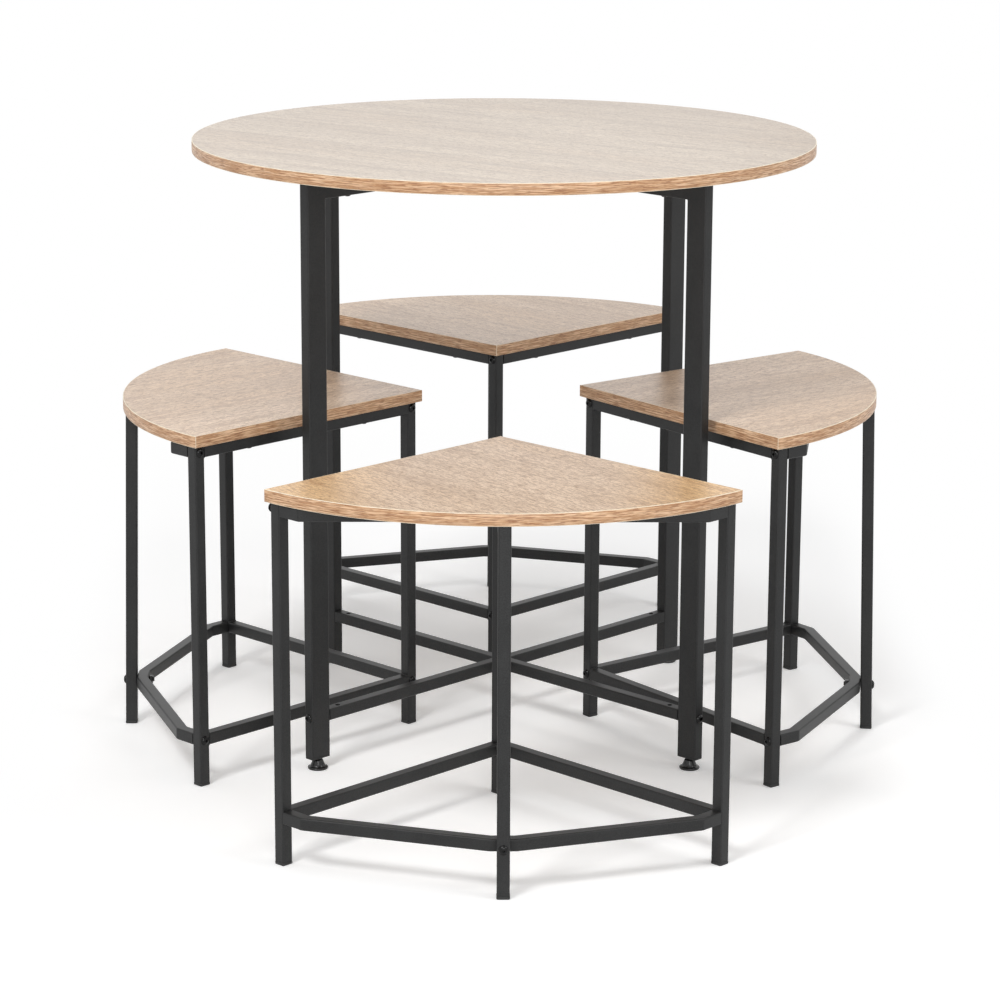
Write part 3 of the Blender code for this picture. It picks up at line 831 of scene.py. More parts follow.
@dataclass
class Tube:
    """A steel tube of rectangular section with rounded edges."""

    width: float
    depth: float
    wall: float = 0.0012
    corner: float = 0.0020
    steps: int = 4
    spare: float = 1.5
    reach: float = 2.5

    def bar(
        self, name: str, start: Vector, end: Vector, side: Vector,
        open_start: bool = False, open_end: bool = False, bore: float = 0.025,
    ) -> Piece:
        """Add one straight tube.

        Args:
            name: The piece's name.
            start: The middle of one end.
            end: The middle of the other end.
            side: The direction in which the width lies.
            open_start: Whether the bore shows at the start.
            open_end: Whether the bore shows at the end.
            bore: How deep an open end is hollowed.

        Returns:
            The tube.
        """
        run = end - start
        axis = run.normalized()
        piece = block(name, turned((start + end) / 2, run, side), (self.width, self.depth, run.length))
        pick(piece, Part.EDGE, lambda edge: abs(
            (edge.verts[1].co - edge.verts[0].co).normalized().dot(axis)
        ) > SQUARE_ON)
        bpy.ops.mesh.bevel(offset=self.corner, segments=self.steps, affect="EDGES")
        for is_open, outward in ((open_start, -axis), (open_end, axis)):
            if is_open:
                pick(piece, Part.FACE, facing(outward))
                bpy.ops.mesh.inset(thickness=self.wall)
                draw_out(-outward * bore)
        put_down()
        return piece

    def bent(self, name: str, outline: Sequence[Vector], height_axis: Vector, weld: float) -> Piece:
        """Add a tube sawn at mitres and welded, whose outer face follows an outline.

        Args:
            name: The piece's name.
            outline: The outer corners in order; the tube lies to their right.
            height_axis: The direction across the outline's plane, in which the depth lies.
            weld: How wide the dressed weld at each mitre is.

        Returns:
            The welded tube.
        """
        ways = [(b - a).normalized() for a, b in zip(outline, outline[1:])]
        planes = [(point, (a + b).normalized()) for point, a, b in zip(outline[1:], ways, ways[1:])]
        last = len(ways) - 1
        members = []
        for index, way in enumerate(ways):
            inward = way.cross(height_axis) * (self.width / 2)
            start, end = outline[index] + inward, outline[index + 1] + inward
            if index > 0:
                start = start - way * self.width * self.spare
            if index < last:
                end = end + way * self.width * self.spare
            member = self.bar(f"{name}_{index}", start, end, inward, index == 0, index == last)
            if index > 0:
                saw(member, planes[index - 1][0], -planes[index - 1][1])
            if index < last:
                saw(member, *planes[index])
            members.append(member)
        piece = gather(name, members)
        pick(piece, Part.VERT, everything)
        bpy.ops.mesh.remove_doubles(threshold=MERGE)
        for plane in planes:
            pick(piece, Part.EDGE, self.in_mitre(*plane))
            bpy.ops.mesh.bevel(offset=weld / 2, segments=2, affect="EDGES")
        put_down()
        return piece

    def in_mitre(self, point: Vector, normal: Vector) -> Test:
        """Return the test for edges that lie in a mitre's plane, near its outer corner."""
        near = self.width * self.reach
        return lambda edge: all(
            abs((vert.co - point).dot(normal)) < FLUSH and (vert.co - point).length < near
            for vert in edge.verts
        )


@dataclass
class DomedHead:
    """The domed head of a fastener, modelled head up with its seat at the origin."""

    name: str
    radius: float
    rim: float
    dome: tuple[tuple[float, float], ...]
    facets: int
    sink: float = 0.0002

    def cutters(self, top: float) -> Iterable[Piece]:
        """Give the pieces that are cut out for the drive, each kind of head its own."""
        raise NotImplementedError(self.name)

    def make(self, finish: bpy.types.Material) -> Piece:
        """Model the pattern that every such head is copied from.

        Args:
            finish: Its finish.

        Returns:
            The pattern.
        """
        middle = UP * ((self.rim - self.sink) / 2)
        head = disc(self.name, self.facets, self.radius, self.rim + self.sink, middle)
        pick(head, Part.FACE, facing(UP))
        for step, height in self.dome:
            bpy.ops.mesh.inset(thickness=step, depth=height)
        for cutter in self.cutters(self.rim + sum(height for _, height in self.dome)):
            carve(head, "DIFFERENCE", cutter)
        return smooth(dress(head, finish), SMALL_CREASE)


@dataclass
class ButtonBolt(DomedHead):
    """A button head with a hexagon socket."""

    name: str = "bolt_pattern"
    radius: float = 0.00575
    rim: float = 0.0007
    dome: tuple[tuple[float, float], ...] = (
        (0.0003, 0.00045), (0.0005, 0.0006), (0.0007, 0.0006), (0.0008, 0.00045), (0.0008, 0.0002),
        (0.0006, 0.0001),
    )
    facets: int = 40
    socket: float = 0.0020
    socket_depth: float = 0.0022

    def cutters(self, top: float) -> Iterable[Piece]:
        """Give the hexagon that is pressed into the top."""
        yield disc("socket", 6, self.socket, self.socket_depth * 2, UP * top)


@dataclass
class PanScrew(DomedHead):
    """A pan head with a cross recess."""

    name: str = "screw_pattern"
    radius: float = 0.0040
    rim: float = 0.0008
    dome: tuple[tuple[float, float], ...] = ((0.0005, 0.0006), (0.0008, 0.0004), (0.0009, 0.0002))
    facets: int = 28
    recess: tuple[float, float, float] = (0.0036, 0.0008, 0.0018)

    def cutters(self, top: float) -> Iterable[Piece]:
        """Give the two bars of the cross."""
        for quarter in (0, math.pi / 2):
            yield block("recess", Matrix.Translation(UP * top) @ spun(quarter), self.recess)


@dataclass
class WeldBead:
    """A short fillet weld of overlapping drops, modelled along X at the origin."""

    length: float = 0.0105
    radius: float = 0.0015
    drops: int = 6
    swell: float = 0.14
    squash: tuple[float, float, float] = (0.85, 1.0, 0.8)

    def make(self, finish: bpy.types.Material) -> Piece:
        """Model the pattern that every weld is copied from.

        Args:
            finish: Its finish.

        Returns:
            The pattern.
        """
        drops = []
        for index in range(self.drops):
            swell = 1 + self.swell * math.sin(2.4 * index + 0.8)
            put_down()
            bpy.ops.mesh.primitive_uv_sphere_add(
                segments=14, ring_count=8, radius=self.radius * swell,
                location=EAST * self.length * (index / (self.drops - 1) - 0.5), scale=self.squash,
            )
            drops.append(settle(f"drop_{index}"))
        return smooth(dress(gather("bead_pattern", drops), finish), 60)


@dataclass
class Rig:
    """Enrols finished pieces with the frame and counts them."""

    count: int = 0
    flatness: int = 80

    def enrol(
        self, piece: Piece, body: str, slot: str = STEEL, nodes: Sequence[str] = (), weighted: bool = False,
    ) -> None:
        """Hand a finished piece to the body that it moves with.

        Args:
            piece: The piece, in place.
            body: The body that it rides on.
            slot: The record's material slot of its finish; not used.
            nodes: The solids that it stands for.
            weighted: Whether its flat faces keep flat shading beside rounded edges.
        """
        if weighted:
            apply(piece, "WEIGHTED_NORMAL", keep_sharp=True, weight=self.flatness)
        if nodes:
            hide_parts(*nodes)
        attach(piece, body)
        self.count += 1
        LOG.info("%s rides on %s with %d faces", piece.name, body, len(piece.data.polygons))


@dataclass
class EdgeBand:
    """The thin band glued round a board: how it is rounded, printed and bared at its ends."""

    finishes: Finishes
    width: float = 0.001
    slack: float = 0.00002
    round_over: float = 0.0006
    level: float = 0.0001

    def thicken(self, rim: Piece) -> None:
        """Give the bare rim of a board the band's thickness, towards the inside."""
        apply(rim, "SOLIDIFY", thickness=self.width - self.slack, offset=-1.0, use_even_offset=True)

    def round_rims(self, piece: Piece, is_outside: Callable[[Vector], bool]) -> None:
        """Round the top and bottom rims on the outer side.

        Args:
            piece: The band.
            is_outside: Tells of a point whether it is on the band's outer side.
        """
        pick(piece, Part.EDGE, lambda edge: rise(edge) < self.level and all(
            is_outside(vert.co) for vert in edge.verts
        ))
        bpy.ops.mesh.bevel(offset=self.round_over, segments=2, affect="EDGES")
        put_down()

    def lay_out(self, piece: Piece, measure: Callable[[Vector, Vector], float], is_print: Test) -> Piece:
        """Print the band along its run, and show its core where it isn't printed.

        Args:
            piece: The band.
            measure: Gives the run of a point, told the middle of its face.
            is_print: Tells of a face whether it is printed.

        Returns:
            The band.
        """
        mesh = piece.data
        layer = mesh.uv_layers.new(name="band_run")
        dress(piece, self.finishes.band, self.finishes.band_core)
        for face in mesh.polygons:
            for corner in face.loop_indices:
                point = mesh.vertices[mesh.loops[corner].vertex_index].co
                layer.data[corner].uv = (measure(point, face.center), point.z)
            face.material_index = 0 if is_print(face) else 1
        return smooth(piece, BOARD_CREASE)


# the table


@dataclass
class RoundTop:
    """The round board and the band round its edge."""

    edge: EdgeBand
    middle: Vector
    radius: float = 0.400
    height: float = 0.773
    thickness: float = 0.015
    facets: int = 256
    grain: float = -37.0
    shift: tuple[float, float] = (0.31, 0.17)
    steep: float = 0.3

    def build(self, rig: Rig) -> None:
        """Model the board and its band.

        Args:
            rig: The rig that enrols them.
        """
        centre = self.middle + UP * (self.height - self.thickness / 2)
        board = disc("round_board", self.facets, self.radius - self.edge.width, self.thickness, centre)
        decor = OakDecor("oak_top_decor", TOP_TONES, self.middle, self.grain, self.shift)
        rig.enrol(smooth(dress(board, decor.make()), BOARD_CREASE), "table", "oak_top", ["table_top_board"])
        band = disc("round_band", self.facets, self.radius, self.thickness, centre, end_fill_type="NOTHING")
        self.edge.thicken(band)
        outer = self.radius - self.edge.width / 2
        self.edge.round_rims(band, lambda point: (point - centre).xy.length > outer)
        self.edge.lay_out(band, self.run, lambda face: abs(face.normal.z) < self.steep)
        rig.enrol(band, "table", "oak_edge_band", ["table_edge_band"])

    def run(self, point: Vector, middle: Vector) -> float:
        """Measure along the rim from the back, without a jump inside a face.

        Args:
            point: The point.
            middle: The middle of its face.

        Returns:
            How far along the rim the point is.
        """
        here, there = point - self.middle, middle - self.middle
        base = math.atan2(-there.x, -there.y)
        step = (math.atan2(-here.x, -here.y) - base + math.pi) % math.tau - math.pi
        return (base + step) * self.radius


@dataclass
class TableLegs:
    """Four legs welded to their top rails, with plugs, feet, bolts and screws."""

    finishes: Finishes
    middle: Vector
    bolt: Piece
    screw: Piece
    tube: Tube = field(default_factory=lambda: Tube(0.030, 0.015))
    reach: float = 0.349
    bottom: float = 0.0165
    top: float = 0.7577
    inner_end: float = 0.0125
    bolt_height: float = 0.0687
    screw_reaches: tuple[float, float] = (0.276, 0.060)
    weld: float = 0.0022
    plug_flange: float = 0.0017
    plug_edge: float = 0.0007
    plug_depth: float = 0.012
    round_over: float = 0.0003
    foot_radius: float = 0.0125
    foot_edge: float = 0.0005
    flare: tuple[tuple[float, float], ...] = (
        (-0.0005, 0.0006), (0.0, 0.0010), (0.0004, 0.0006), (0.0010, 0.0005), (0.0014, 0.0004),
        (0.0005, 0.0005), (0.0010, 0.0022), (0.0010, 0.0024), (0.0009, 0.0022), (0.0004, 0.0009),
        (0.0006, 0.0003),
    )
    stem_radius: float = 0.0040
    stem_low: float = 0.0098
    stem_start: float = 0.0004
    thread_root: float = 0.86
    thread_pitch: float = 0.00125
    thread_turns: int = 26

    @property
    def under(self) -> Vector:
        """Return the point on the floor under the middle of the first leg."""
        return EAST * (self.reach - self.tube.width / 2)

    def build(self, rig: Rig) -> None:
        """Model one corner and copy it to the four.

        Args:
            rig: The rig that enrols the copies.
        """
        patterns = [self.frame(), self.plug(), self.foot(), self.stem()]
        bolt_seat = turned(EAST * self.reach + UP * self.bolt_height, EAST, UP)
        for corner in Corner:
            place = Matrix.Translation(self.middle) @ spun(math.radians(corner.value))
            frame, plug, foot, stem = [
                copy_to(pattern, f"{pattern.name}_{corner.label}", place) for pattern in patterns
            ]
            body = f"levelling_foot_{corner.label}"
            rig.enrol(frame, "table", STEEL, [f"table_leg_frame_{corner.label}"], weighted=True)
            rig.enrol(plug, "table", PLASTIC, [f"table_leg_plug_{corner.label}"])
            rig.enrol(foot, body, PLASTIC, [f"table_{body}"])
            rig.enrol(stem, body)
            rig.enrol(copy_to(self.bolt, f"leg_bolt_{corner.label}", place @ bolt_seat), "table")
            for index, reach in enumerate(self.screw_reaches):
                seat = turned(EAST * reach + UP * (self.top - self.tube.width), -UP, EAST)
                twist = spun(0.7 + 1.9 * index)
                name = f"top_screw_{corner.label}_{index}"
                rig.enrol(copy_to(self.screw, name, place @ seat @ twist), "table")
        scrap(patterns)

    def frame(self) -> Piece:
        """Return the leg and its top rail, mitred at the outer corner."""
        outer = Vector((self.reach, 0, self.top))
        outline = [Vector((self.inner_end, 0, self.top)), outer, Vector((self.reach, 0, self.bottom))]
        piece = self.tube.bent("leg_and_rail", outline, -NORTH, self.weld)
        return smooth(dress(piece, self.finishes.powder), TUBE_CREASE)

    def plug(self) -> Piece:
        """Return the plastic plug in the leg's end."""
        middle = self.under + UP * (self.bottom - GAP - self.plug_flange / 2)
        size = (self.tube.width, self.tube.depth, self.plug_flange)
        piece = block("leg_plug", Matrix.Translation(middle), size)
        pick(piece, Part.EDGE, lambda edge: rise(edge) > self.plug_flange / 2)
        bpy.ops.mesh.bevel(offset=self.tube.corner, segments=4, affect="EDGES")
        pick(piece, Part.FACE, facing(-UP))
        bpy.ops.mesh.inset(thickness=self.plug_edge, depth=0.0)
        pick(piece, Part.FACE, facing(UP))
        bpy.ops.mesh.inset(thickness=self.tube.wall + 0.0001)
        draw_out(UP * self.plug_depth)
        soften(piece, self.round_over, 60)
        return smooth(dress(piece, self.finishes.cap), SMALL_CREASE)

    def foot(self) -> Piece:
        """Return the trumpet-shaped foot under a leg."""
        edge = self.foot_edge
        piece = disc("trumpet_foot", 48, self.foot_radius, edge, self.under + UP * (edge / 2))
        radius = self.foot_radius
        pick(piece, Part.FACE, facing(UP))
        for inset, height in self.flare:
            self.ring(height, (radius - inset) / radius)
            radius -= inset
        return smooth(dress(piece, self.finishes.foot), 40)

    def stem(self) -> Piece:
        """Return the threaded stem of a foot, ridge by ridge."""
        start = self.under + UP * self.stem_low
        piece = disc("threaded_stem", 32, self.stem_radius * self.thread_root, self.stem_start, start)
        pick(piece, Part.FACE, facing(UP))
        for _ in range(self.thread_turns):
            for share in (1 / self.thread_root, self.thread_root):
                self.ring(self.thread_pitch / 2, share)
        return smooth(dress(piece, self.finishes.zinc), SMALL_CREASE)

    def ring(self, height: float, share: float) -> None:
        """Draw the picked top out and widen or narrow it about the leg's middle."""
        draw_out(UP * height)
        bpy.ops.transform.resize(value=(share, share, 1), center_override=self.under)


@dataclass
class CrossStretcher:
    """Two tubes crossed low between the table legs."""

    finishes: Finishes
    middle: Vector
    bead: Piece
    tube: Tube = field(default_factory=lambda: Tube(0.015, 0.015))
    reach: float = 0.3187
    height: float = 0.0687
    bore: float = 0.03
    hole_reach: float = 0.299
    hole_radius: float = 0.0033
    drill: float = 0.025
    weld_gap: float = 0.0002

    def build(self, rig: Rig) -> None:
        """Model the cross with a hole near each leg, and the welds in its corners.

        Args:
            rig: The rig that enrols them.
        """
        level = self.middle + UP * self.height
        bars = []
        for degrees in (45, 135):
            arm = heading(degrees) * self.reach
            ends = (level - arm, level + arm)
            side = heading(degrees + 90)
            bars.append(self.tube.bar("stretcher_cross", *ends, side, True, True, self.bore))
        cross, other = bars
        carve(cross, "UNION", other)
        for corner in Corner:
            spot = level + heading(corner.value) * self.hole_reach + UP * (self.tube.depth / 2)
            carve(cross, "DIFFERENCE", disc("drill", 24, self.hole_radius, self.drill, spot))
        smooth(dress(cross, self.finishes.powder), TUBE_CREASE)
        rig.enrol(cross, "table", STEEL, ["table_cross_stretcher"], weighted=True)
        beads = []
        for degrees in (0, 90, 180, 270):
            out = heading(degrees)
            spot = level + out * (self.tube.width / 2 / DIAGONAL + self.weld_gap)
            beads.append(copy_to(self.bead, f"cross_bead_{degrees}", turned(spot, out, UP)))
        rig.enrol(gather("stretcher_welds", beads), "table")


# the stools


@dataclass
class Stand:
    """Where one stool stands, the print that goes with it, and the painted reflection on its seat."""

    name: str
    tip: tuple[float, float]
    turn: float
    hand: Hand
    grain: float
    shift: tuple[float, float]
    proud: float = 0.0
    # how strongly the seat gets the painted reflection of the table legs at its sides
    amber: float = 0.0

    def matrix(self, tip: Vector) -> Matrix:
        """Return the place of the stool's own frame, mirrored for the other hand."""
        flip = Matrix.Scale(self.hand.value, 4, NORTH)
        return Matrix.Translation(tip) @ spun(math.radians(self.turn)) @ flip


class Side:
    """A straight side of a stool: along runs from the tip and inward to the middle."""

    def __init__(self, sign: int) -> None:
        """Keep the two directions of the side on +Y or -Y."""
        self.along = Vector((DIAGONAL, sign * DIAGONAL, 0))
        self.inward = Vector((DIAGONAL, -sign * DIAGONAL, 0))

    def point(self, distance: float, inset: float, height: float) -> Vector:
        """Return a point by its distance from the tip and its inset from the edge."""
        return self.along * distance + self.inward * inset + UP * height


WELDED, BOLTED = Side(1), Side(-1)
SIDES = (WELDED, BOLTED)


@dataclass
class Master:
    """A piece of the stool's pattern, with the slot and the solid of its copies."""

    piece: Piece
    slot: str = STEEL
    node: str = ""
    weighted: bool = False


@dataclass
class StoolPattern:
    """One stool in its own frame, welded on its +Y side, to be copied four times."""

    finishes: Finishes
    edge: EdgeBand
    bolt: Piece
    screw: Piece
    bead: Piece
    tube: Tube = field(default_factory=lambda: Tube(0.015, 0.015))
    height: float = 0.450
    radius: float = 0.385
    thickness: float = 0.015
    trimmed: float = 0.0009
    inset: float = 0.013
    corner_reach: float = 0.3735
    arc_reach: float = 0.3755
    splay: float = 0.0095
    ring_height: float = 0.059
    stub: float = 0.031
    nose_width: float = 0.032
    weld: float = 0.0030
    cap: float = 0.003
    cap_overhang: float = 0.0003
    cap_depth: float = 0.008
    bracket_bore: float = 0.012
    nut_radius: float = 0.0058
    nut_length: float = 0.005
    tail_length: float = 0.0065
    tail_radius: float = 0.003
    shank_radius: float = 0.0050
    shank_length: float = 0.006
    screw_reaches: tuple[float, float] = (0.092, 0.288)
    weld_gap: float = 0.0001
    facets: int = 256

    @property
    def half(self) -> float:
        """Return half the width of a tube."""
        return self.tube.width / 2

    @property
    def under(self) -> float:
        """Return the height of the seat's underside."""
        return self.height - self.thickness

    @property
    def upper(self) -> float:
        """Return the height of the middle of the upper rails."""
        return self.under - GAP - self.half

    @property
    def chord(self) -> float:
        """Return how far out the outer face of the upper front rail is."""
        corner = WELDED.point(self.corner_reach + self.half, self.inset + self.half, 0)
        return (corner + WELDED.inward * self.stub).x

    def arc_at(self, height: float) -> float:
        """Return how far out the middle of the slanting arc leg is at a height."""
        return self.arc_reach + self.splay * (1 - height / self.under)

    def build(self) -> dict[str, Master]:
        """Return every piece of the pattern by the name of its copies."""
        masters = {
            "seat_board": Master(self.board(), "oak_seat", "seat_panel"),
            "seat_band": Master(self.edge_band(), "oak_edge_band", "seat_edge_band"),
            "welded_side": Master(self.side_frame(WELDED, "welded"), STEEL, "welded_side_frame", True),
            "bolted_side": Master(self.side_frame(BOLTED, "bolted"), STEEL, "bolted_side_frame", True),
            "upper_rail": Master(self.front("rail_pattern", self.upper), STEEL, "upper_front_rail", True),
            "foot_ring": Master(self.front("ring_pattern", self.ring_height), STEEL, "foot_ring_front", True),
            "arc_leg_tube": Master(self.arc_leg(), STEEL, "arc_leg", True),
            "bolts": Master(self.bolts()),
            "corner_bolt": Master(self.corner_bolt()),
            "screws": Master(self.screws()),
            "welds": Master(self.welds()),
        }
        for leg, centre, side in (
            ("tip", WELDED.point(self.inset, self.inset, 0), WELDED.along),
            ("welded_corner", WELDED.point(self.corner_reach, self.inset, 0), WELDED.along),
            ("bolted_corner", BOLTED.point(self.corner_reach, self.inset, 0), BOLTED.along),
            ("arc", EAST * self.arc_at(self.cap), EAST),
        ):
            masters[f"{leg}_cap"] = Master(self.leg_cap(leg, centre, side), PLASTIC, f"cap_{leg}_leg")
        return masters

    def sector(self, name: str, radius: float, inset: float, fill: bool) -> Piece:
        """Turn a disc and saw it to a quarter whose straight sides are inset.

        Args:
            name: The piece's name.
            radius: The radius of the arc.
            inset: How far the straight sides lie in from the diagonals.
            fill: Whether the disc is solid, or only its rim.

        Returns:
            The quarter disc.
        """
        middle = UP * (self.height - self.thickness / 2)
        ends = "NGON" if fill else "NOTHING"
        piece = disc(name, self.facets, radius, self.thickness, middle, end_fill_type=ends)
        for side in SIDES:
            saw(piece, side.inward * inset, -side.inward, fill)
        if not fill:
            pick(piece, Part.FACE, lambda face: face.calc_center_median().x < 0)
            bpy.ops.mesh.delete(type="FACE")
        put_down()
        return piece

    def board(self) -> Piece:
        """Return the seat board."""
        board = self.sector("board_pattern", self.radius - self.edge.width, self.edge.width, True)
        return smooth(board, BOARD_CREASE)

    def arc_strip(self) -> Piece:
        """Return the strip along the arc, trimmed at the ends that lap over the straight strips."""
        arc = self.sector("arc_strip", self.radius, 0.0, False)
        outer = self.radius - self.edge.width / 2
        self.edge.thicken(arc)
        self.edge.round_rims(arc, lambda point: point.xy.length > outer)
        pick(arc, Part.EDGE, lambda edge: rise(edge) > self.thickness / 2 and all(
            vert.co.xy.length > outer and min(
                abs(vert.co.dot(side.inward)) for side in SIDES
            ) < self.edge.width / 4 for vert in edge.verts
        ))
        bpy.ops.mesh.bevel(offset=self.trimmed, segments=1, affect="EDGES")
        put_down()
        return self.edge.lay_out(
            arc, lambda point, face: math.atan2(point.y, point.x) * self.radius,
            lambda face: abs(face.normal.z) < 0.3 and abs(
                face.normal.dot(Vector((*face.center.xy, 0)).normalized())
            ) > SQUARE_ON,
        )

    def straight_strip(self, side: Side, start: float, offset: float) -> Piece:
        """Make the strip along one straight side.

        Args:
            side: The side.
            start: How far from the tip the strip begins.
            offset: Which stretch of the print lies on it.

        Returns:
            The strip.
        """
        width = self.edge.width
        end = self.radius - width
        middle = side.point((start + end) / 2, width / 2, self.height - self.thickness / 2)
        place = turned(middle, side.along, side.inward)
        strip = block("straight_strip", place, (width, self.thickness, end - start))
        self.edge.round_rims(strip, lambda point: point.dot(side.inward) < width / 2)
        return self.edge.lay_out(
            strip, lambda point, face: point.dot(side.along) + offset,
            lambda face: abs(face.normal.dot(side.inward)) > 0.7,
        )

    def edge_band(self) -> Piece:
        """Return the arc strip and the two straight strips, which meet at the tip."""
        strips = [
            self.arc_strip(),
            self.straight_strip(WELDED, 0.0, 0.9),
            self.straight_strip(BOLTED, self.edge.width, 1.6),
        ]
        return gather("band_pattern", strips)

    def leg(self, name: str, centre: Vector, side: Vector) -> Piece:
        """Return one upright leg from its cap to the seat."""
        low, high = centre + UP * (self.cap + GAP), centre + UP * (self.under - GAP)
        return self.tube.bar(name, low, high, side, True, True)

    def side_frame(self, side: Side, label: str) -> Piece:
        """Weld a side frame together.

        Args:
            side: The side; the welded one has the tip leg on it.
            label: What its name begins with.

        Returns:
            The frame.
        """
        welded = side is WELDED
        end = self.corner_reach - self.half
        start = self.inset + self.half + (0 if welded else GAP)
        parts = [self.leg(f"{label}_corner", side.point(self.corner_reach, self.inset, 0), side.along)]
        if welded:
            parts.append(self.leg("tip", side.point(self.inset, self.inset, 0), side.along))
        for height in (self.upper, self.ring_height):
            ends = [side.point(reach, self.inset, height) for reach in (start, end)]
            parts.append(self.tube.bar(f"{label}_rail", *ends, side.inward, not welded))
        return smooth(dress(gather(f"{label}_pattern", parts), self.finishes.powder), TUBE_CREASE)

    def front(self, name: str, height: float) -> Piece:
        """Weld a front rail: straight up at the seat, or bent out to a flat nose at the ring.

        Args:
            name: The piece's name.
            height: The height of its middle.

        Returns:
            The rail.
        """
        ends = []
        for side in SIDES:
            outer = side.point(self.corner_reach + self.half, self.inset + self.half, height)
            ends.append([outer + side.inward * GAP, outer + side.inward * self.stub])
        nose = []
        if height == self.ring_height:
            reach = self.arc_at(height) - self.half - GAP
            nose = [Vector((reach, sign * self.nose_width / 2, height)) for sign in (1, -1)]
        piece = self.tube.bent(name, [*ends[0], *nose, *reversed(ends[1])], UP, self.weld)
        return smooth(dress(piece, self.finishes.powder), TUBE_CREASE)

    def arc_leg(self) -> Piece:
        """Return the leg under the arc with the bracket to the upper rail."""
        leg = self.leg("arc", EAST * self.arc_reach, NORTH)
        slant = Matrix.Identity(4)
        slant[0][2] = -self.splay / self.under
        slant[0][3] = self.splay
        leg.data.transform(slant)
        start, end = [Vector((x, 0, self.upper)) for x in (self.chord + GAP, self.arc_reach - self.half)]
        bracket = self.tube.bar("bracket", start, end, NORTH, True, False, self.bracket_bore)
        return smooth(dress(gather("arc_pattern", [leg, bracket]), self.finishes.powder), TUBE_CREASE)

    def leg_cap(self, name: str, centre: Vector, side: Vector) -> Piece:
        """Make one thin plastic cap, a hair wider than its tube.

        Args:
            name: The name of its leg.
            centre: The middle of the leg on the floor.
            side: The direction of one side of the leg.

        Returns:
            The cap.
        """
        wide = self.tube.width + self.cap_overhang * 2
        place = Matrix.Translation(centre + UP * (self.cap / 2)) @ spun(math.atan2(side.y, side.x))
        piece = block(f"{name}_cap_pattern", place, (wide, wide, self.cap))
        pick(piece, Part.EDGE, lambda edge: rise(edge) > self.cap / 2)
        bpy.ops.mesh.bevel(offset=self.tube.corner + self.cap_overhang, segments=4, affect="EDGES")
        pick(piece, Part.FACE, facing(UP))
        bpy.ops.mesh.inset(thickness=self.tube.wall + self.cap_overhang + 0.0001)
        draw_out(UP * self.cap_depth)
        soften(piece, 0.0005, 60, segments=3)
        return smooth(dress(piece, self.finishes.cap), SMALL_CREASE)

    def bolts(self) -> Piece:
        """Return the heads of the frame bolts and the nut behind the nose."""
        seats = []
        for height, sides in ((self.upper, (WELDED,)), (self.ring_height, SIDES)):
            seats.append((BOLTED.point(self.inset - self.half, self.inset, height), -BOLTED.along))
            for side in sides:
                seats.append((side.point(self.corner_reach, self.inset - self.half, height), -side.inward))
        seats.append((Vector((self.arc_at(self.ring_height) + self.half, 0, self.ring_height)), EAST))
        seats.append((Vector((self.chord - self.tube.width, 0, self.upper)), -EAST))
        heads = [
            copy_to(self.bolt, f"head_{index}", turned(seat, outward, UP) @ spun(0.4 + 1.3 * index))
            for index, (seat, outward) in enumerate(seats)
        ]
        return gather("bolts_pattern", [*heads, self.nut()])

    def corner_bolt(self) -> Piece:
        """Return the bolt at the top of the bolted side's corner leg, with its shank."""
        seat = BOLTED.point(self.corner_reach, self.inset - self.half, self.upper)
        place = turned(seat, -BOLTED.inward, UP)
        shank = disc("shank", 28, self.shank_radius, self.shank_length, -UP * (self.shank_length / 2))
        shank.data.transform(place)
        soften(shank, 0.0003, 80)
        smooth(dress(shank, self.finishes.bolt), SMALL_CREASE)
        return gather("corner_bolt_pattern", [copy_to(self.bolt, "corner_head", place), shank])

    def nut(self) -> Piece:
        """Return the nut and the bolt's tail behind the foot ring's nose."""
        face = Vector((self.arc_at(self.ring_height) - self.tube.width * 1.5 - GAP, 0, self.ring_height))
        across = (0, math.pi / 2, 0)
        middle = face - EAST * (self.nut_length / 2)
        nut = disc("nose_nut", 6, self.nut_radius, self.nut_length, middle, rotation=across)
        soften(nut, 0.0004, 80)
        middle = face - EAST * (self.tail_length / 2)
        tail = disc("nose_bolt_tail", 24, self.tail_radius, self.tail_length, middle, rotation=across)
        pick(tail, Part.FACE, facing(-EAST))
        bpy.ops.mesh.inset(thickness=0.0005, depth=0.0004)
        return smooth(dress(gather("nut_pattern", [nut, tail]), self.finishes.bolt), SMALL_CREASE)

    def screws(self) -> Piece:
        """Return the screw heads under the upper side rails."""
        heads = []
        for sign, side in zip((1, -1), SIDES):
            for index, reach in enumerate(self.screw_reaches):
                seat = turned(side.point(reach, self.inset, self.upper - self.half), -UP, side.along)
                heads.append(copy_to(self.screw, f"screw_{index}", seat @ spun(0.9 * sign + 1.7 * index)))
        return gather("screws_pattern", heads)

    def welds(self) -> Piece:
        """Return the short welds above and below the ends of the rails."""
        joints = []
        corner_end = self.corner_reach - self.half - GAP
        tip_end = self.inset + self.half + GAP
        for reach, side in ((corner_end, WELDED), (tip_end, WELDED), (corner_end, BOLTED)):
            for height, edges in ((self.upper, (-1,)), (self.ring_height, (1, -1))):
                for edge in edges:
                    spot = side.point(reach, self.inset, height + edge * (self.half + self.weld_gap))
                    joints.append((spot, side.inward, edge))
        low = self.upper - self.half - self.weld_gap
        joints.append((Vector((self.arc_reach - self.half - GAP, 0, low)), NORTH, -1))
        beads = []
        for index, (spot, run, edge) in enumerate(joints):
            flip = 1 if index % 2 else -1
            beads.append(copy_to(self.bead, f"bead_{index}", turned(spot, UP * edge, run * flip)))
        return gather("welds_pattern", beads)


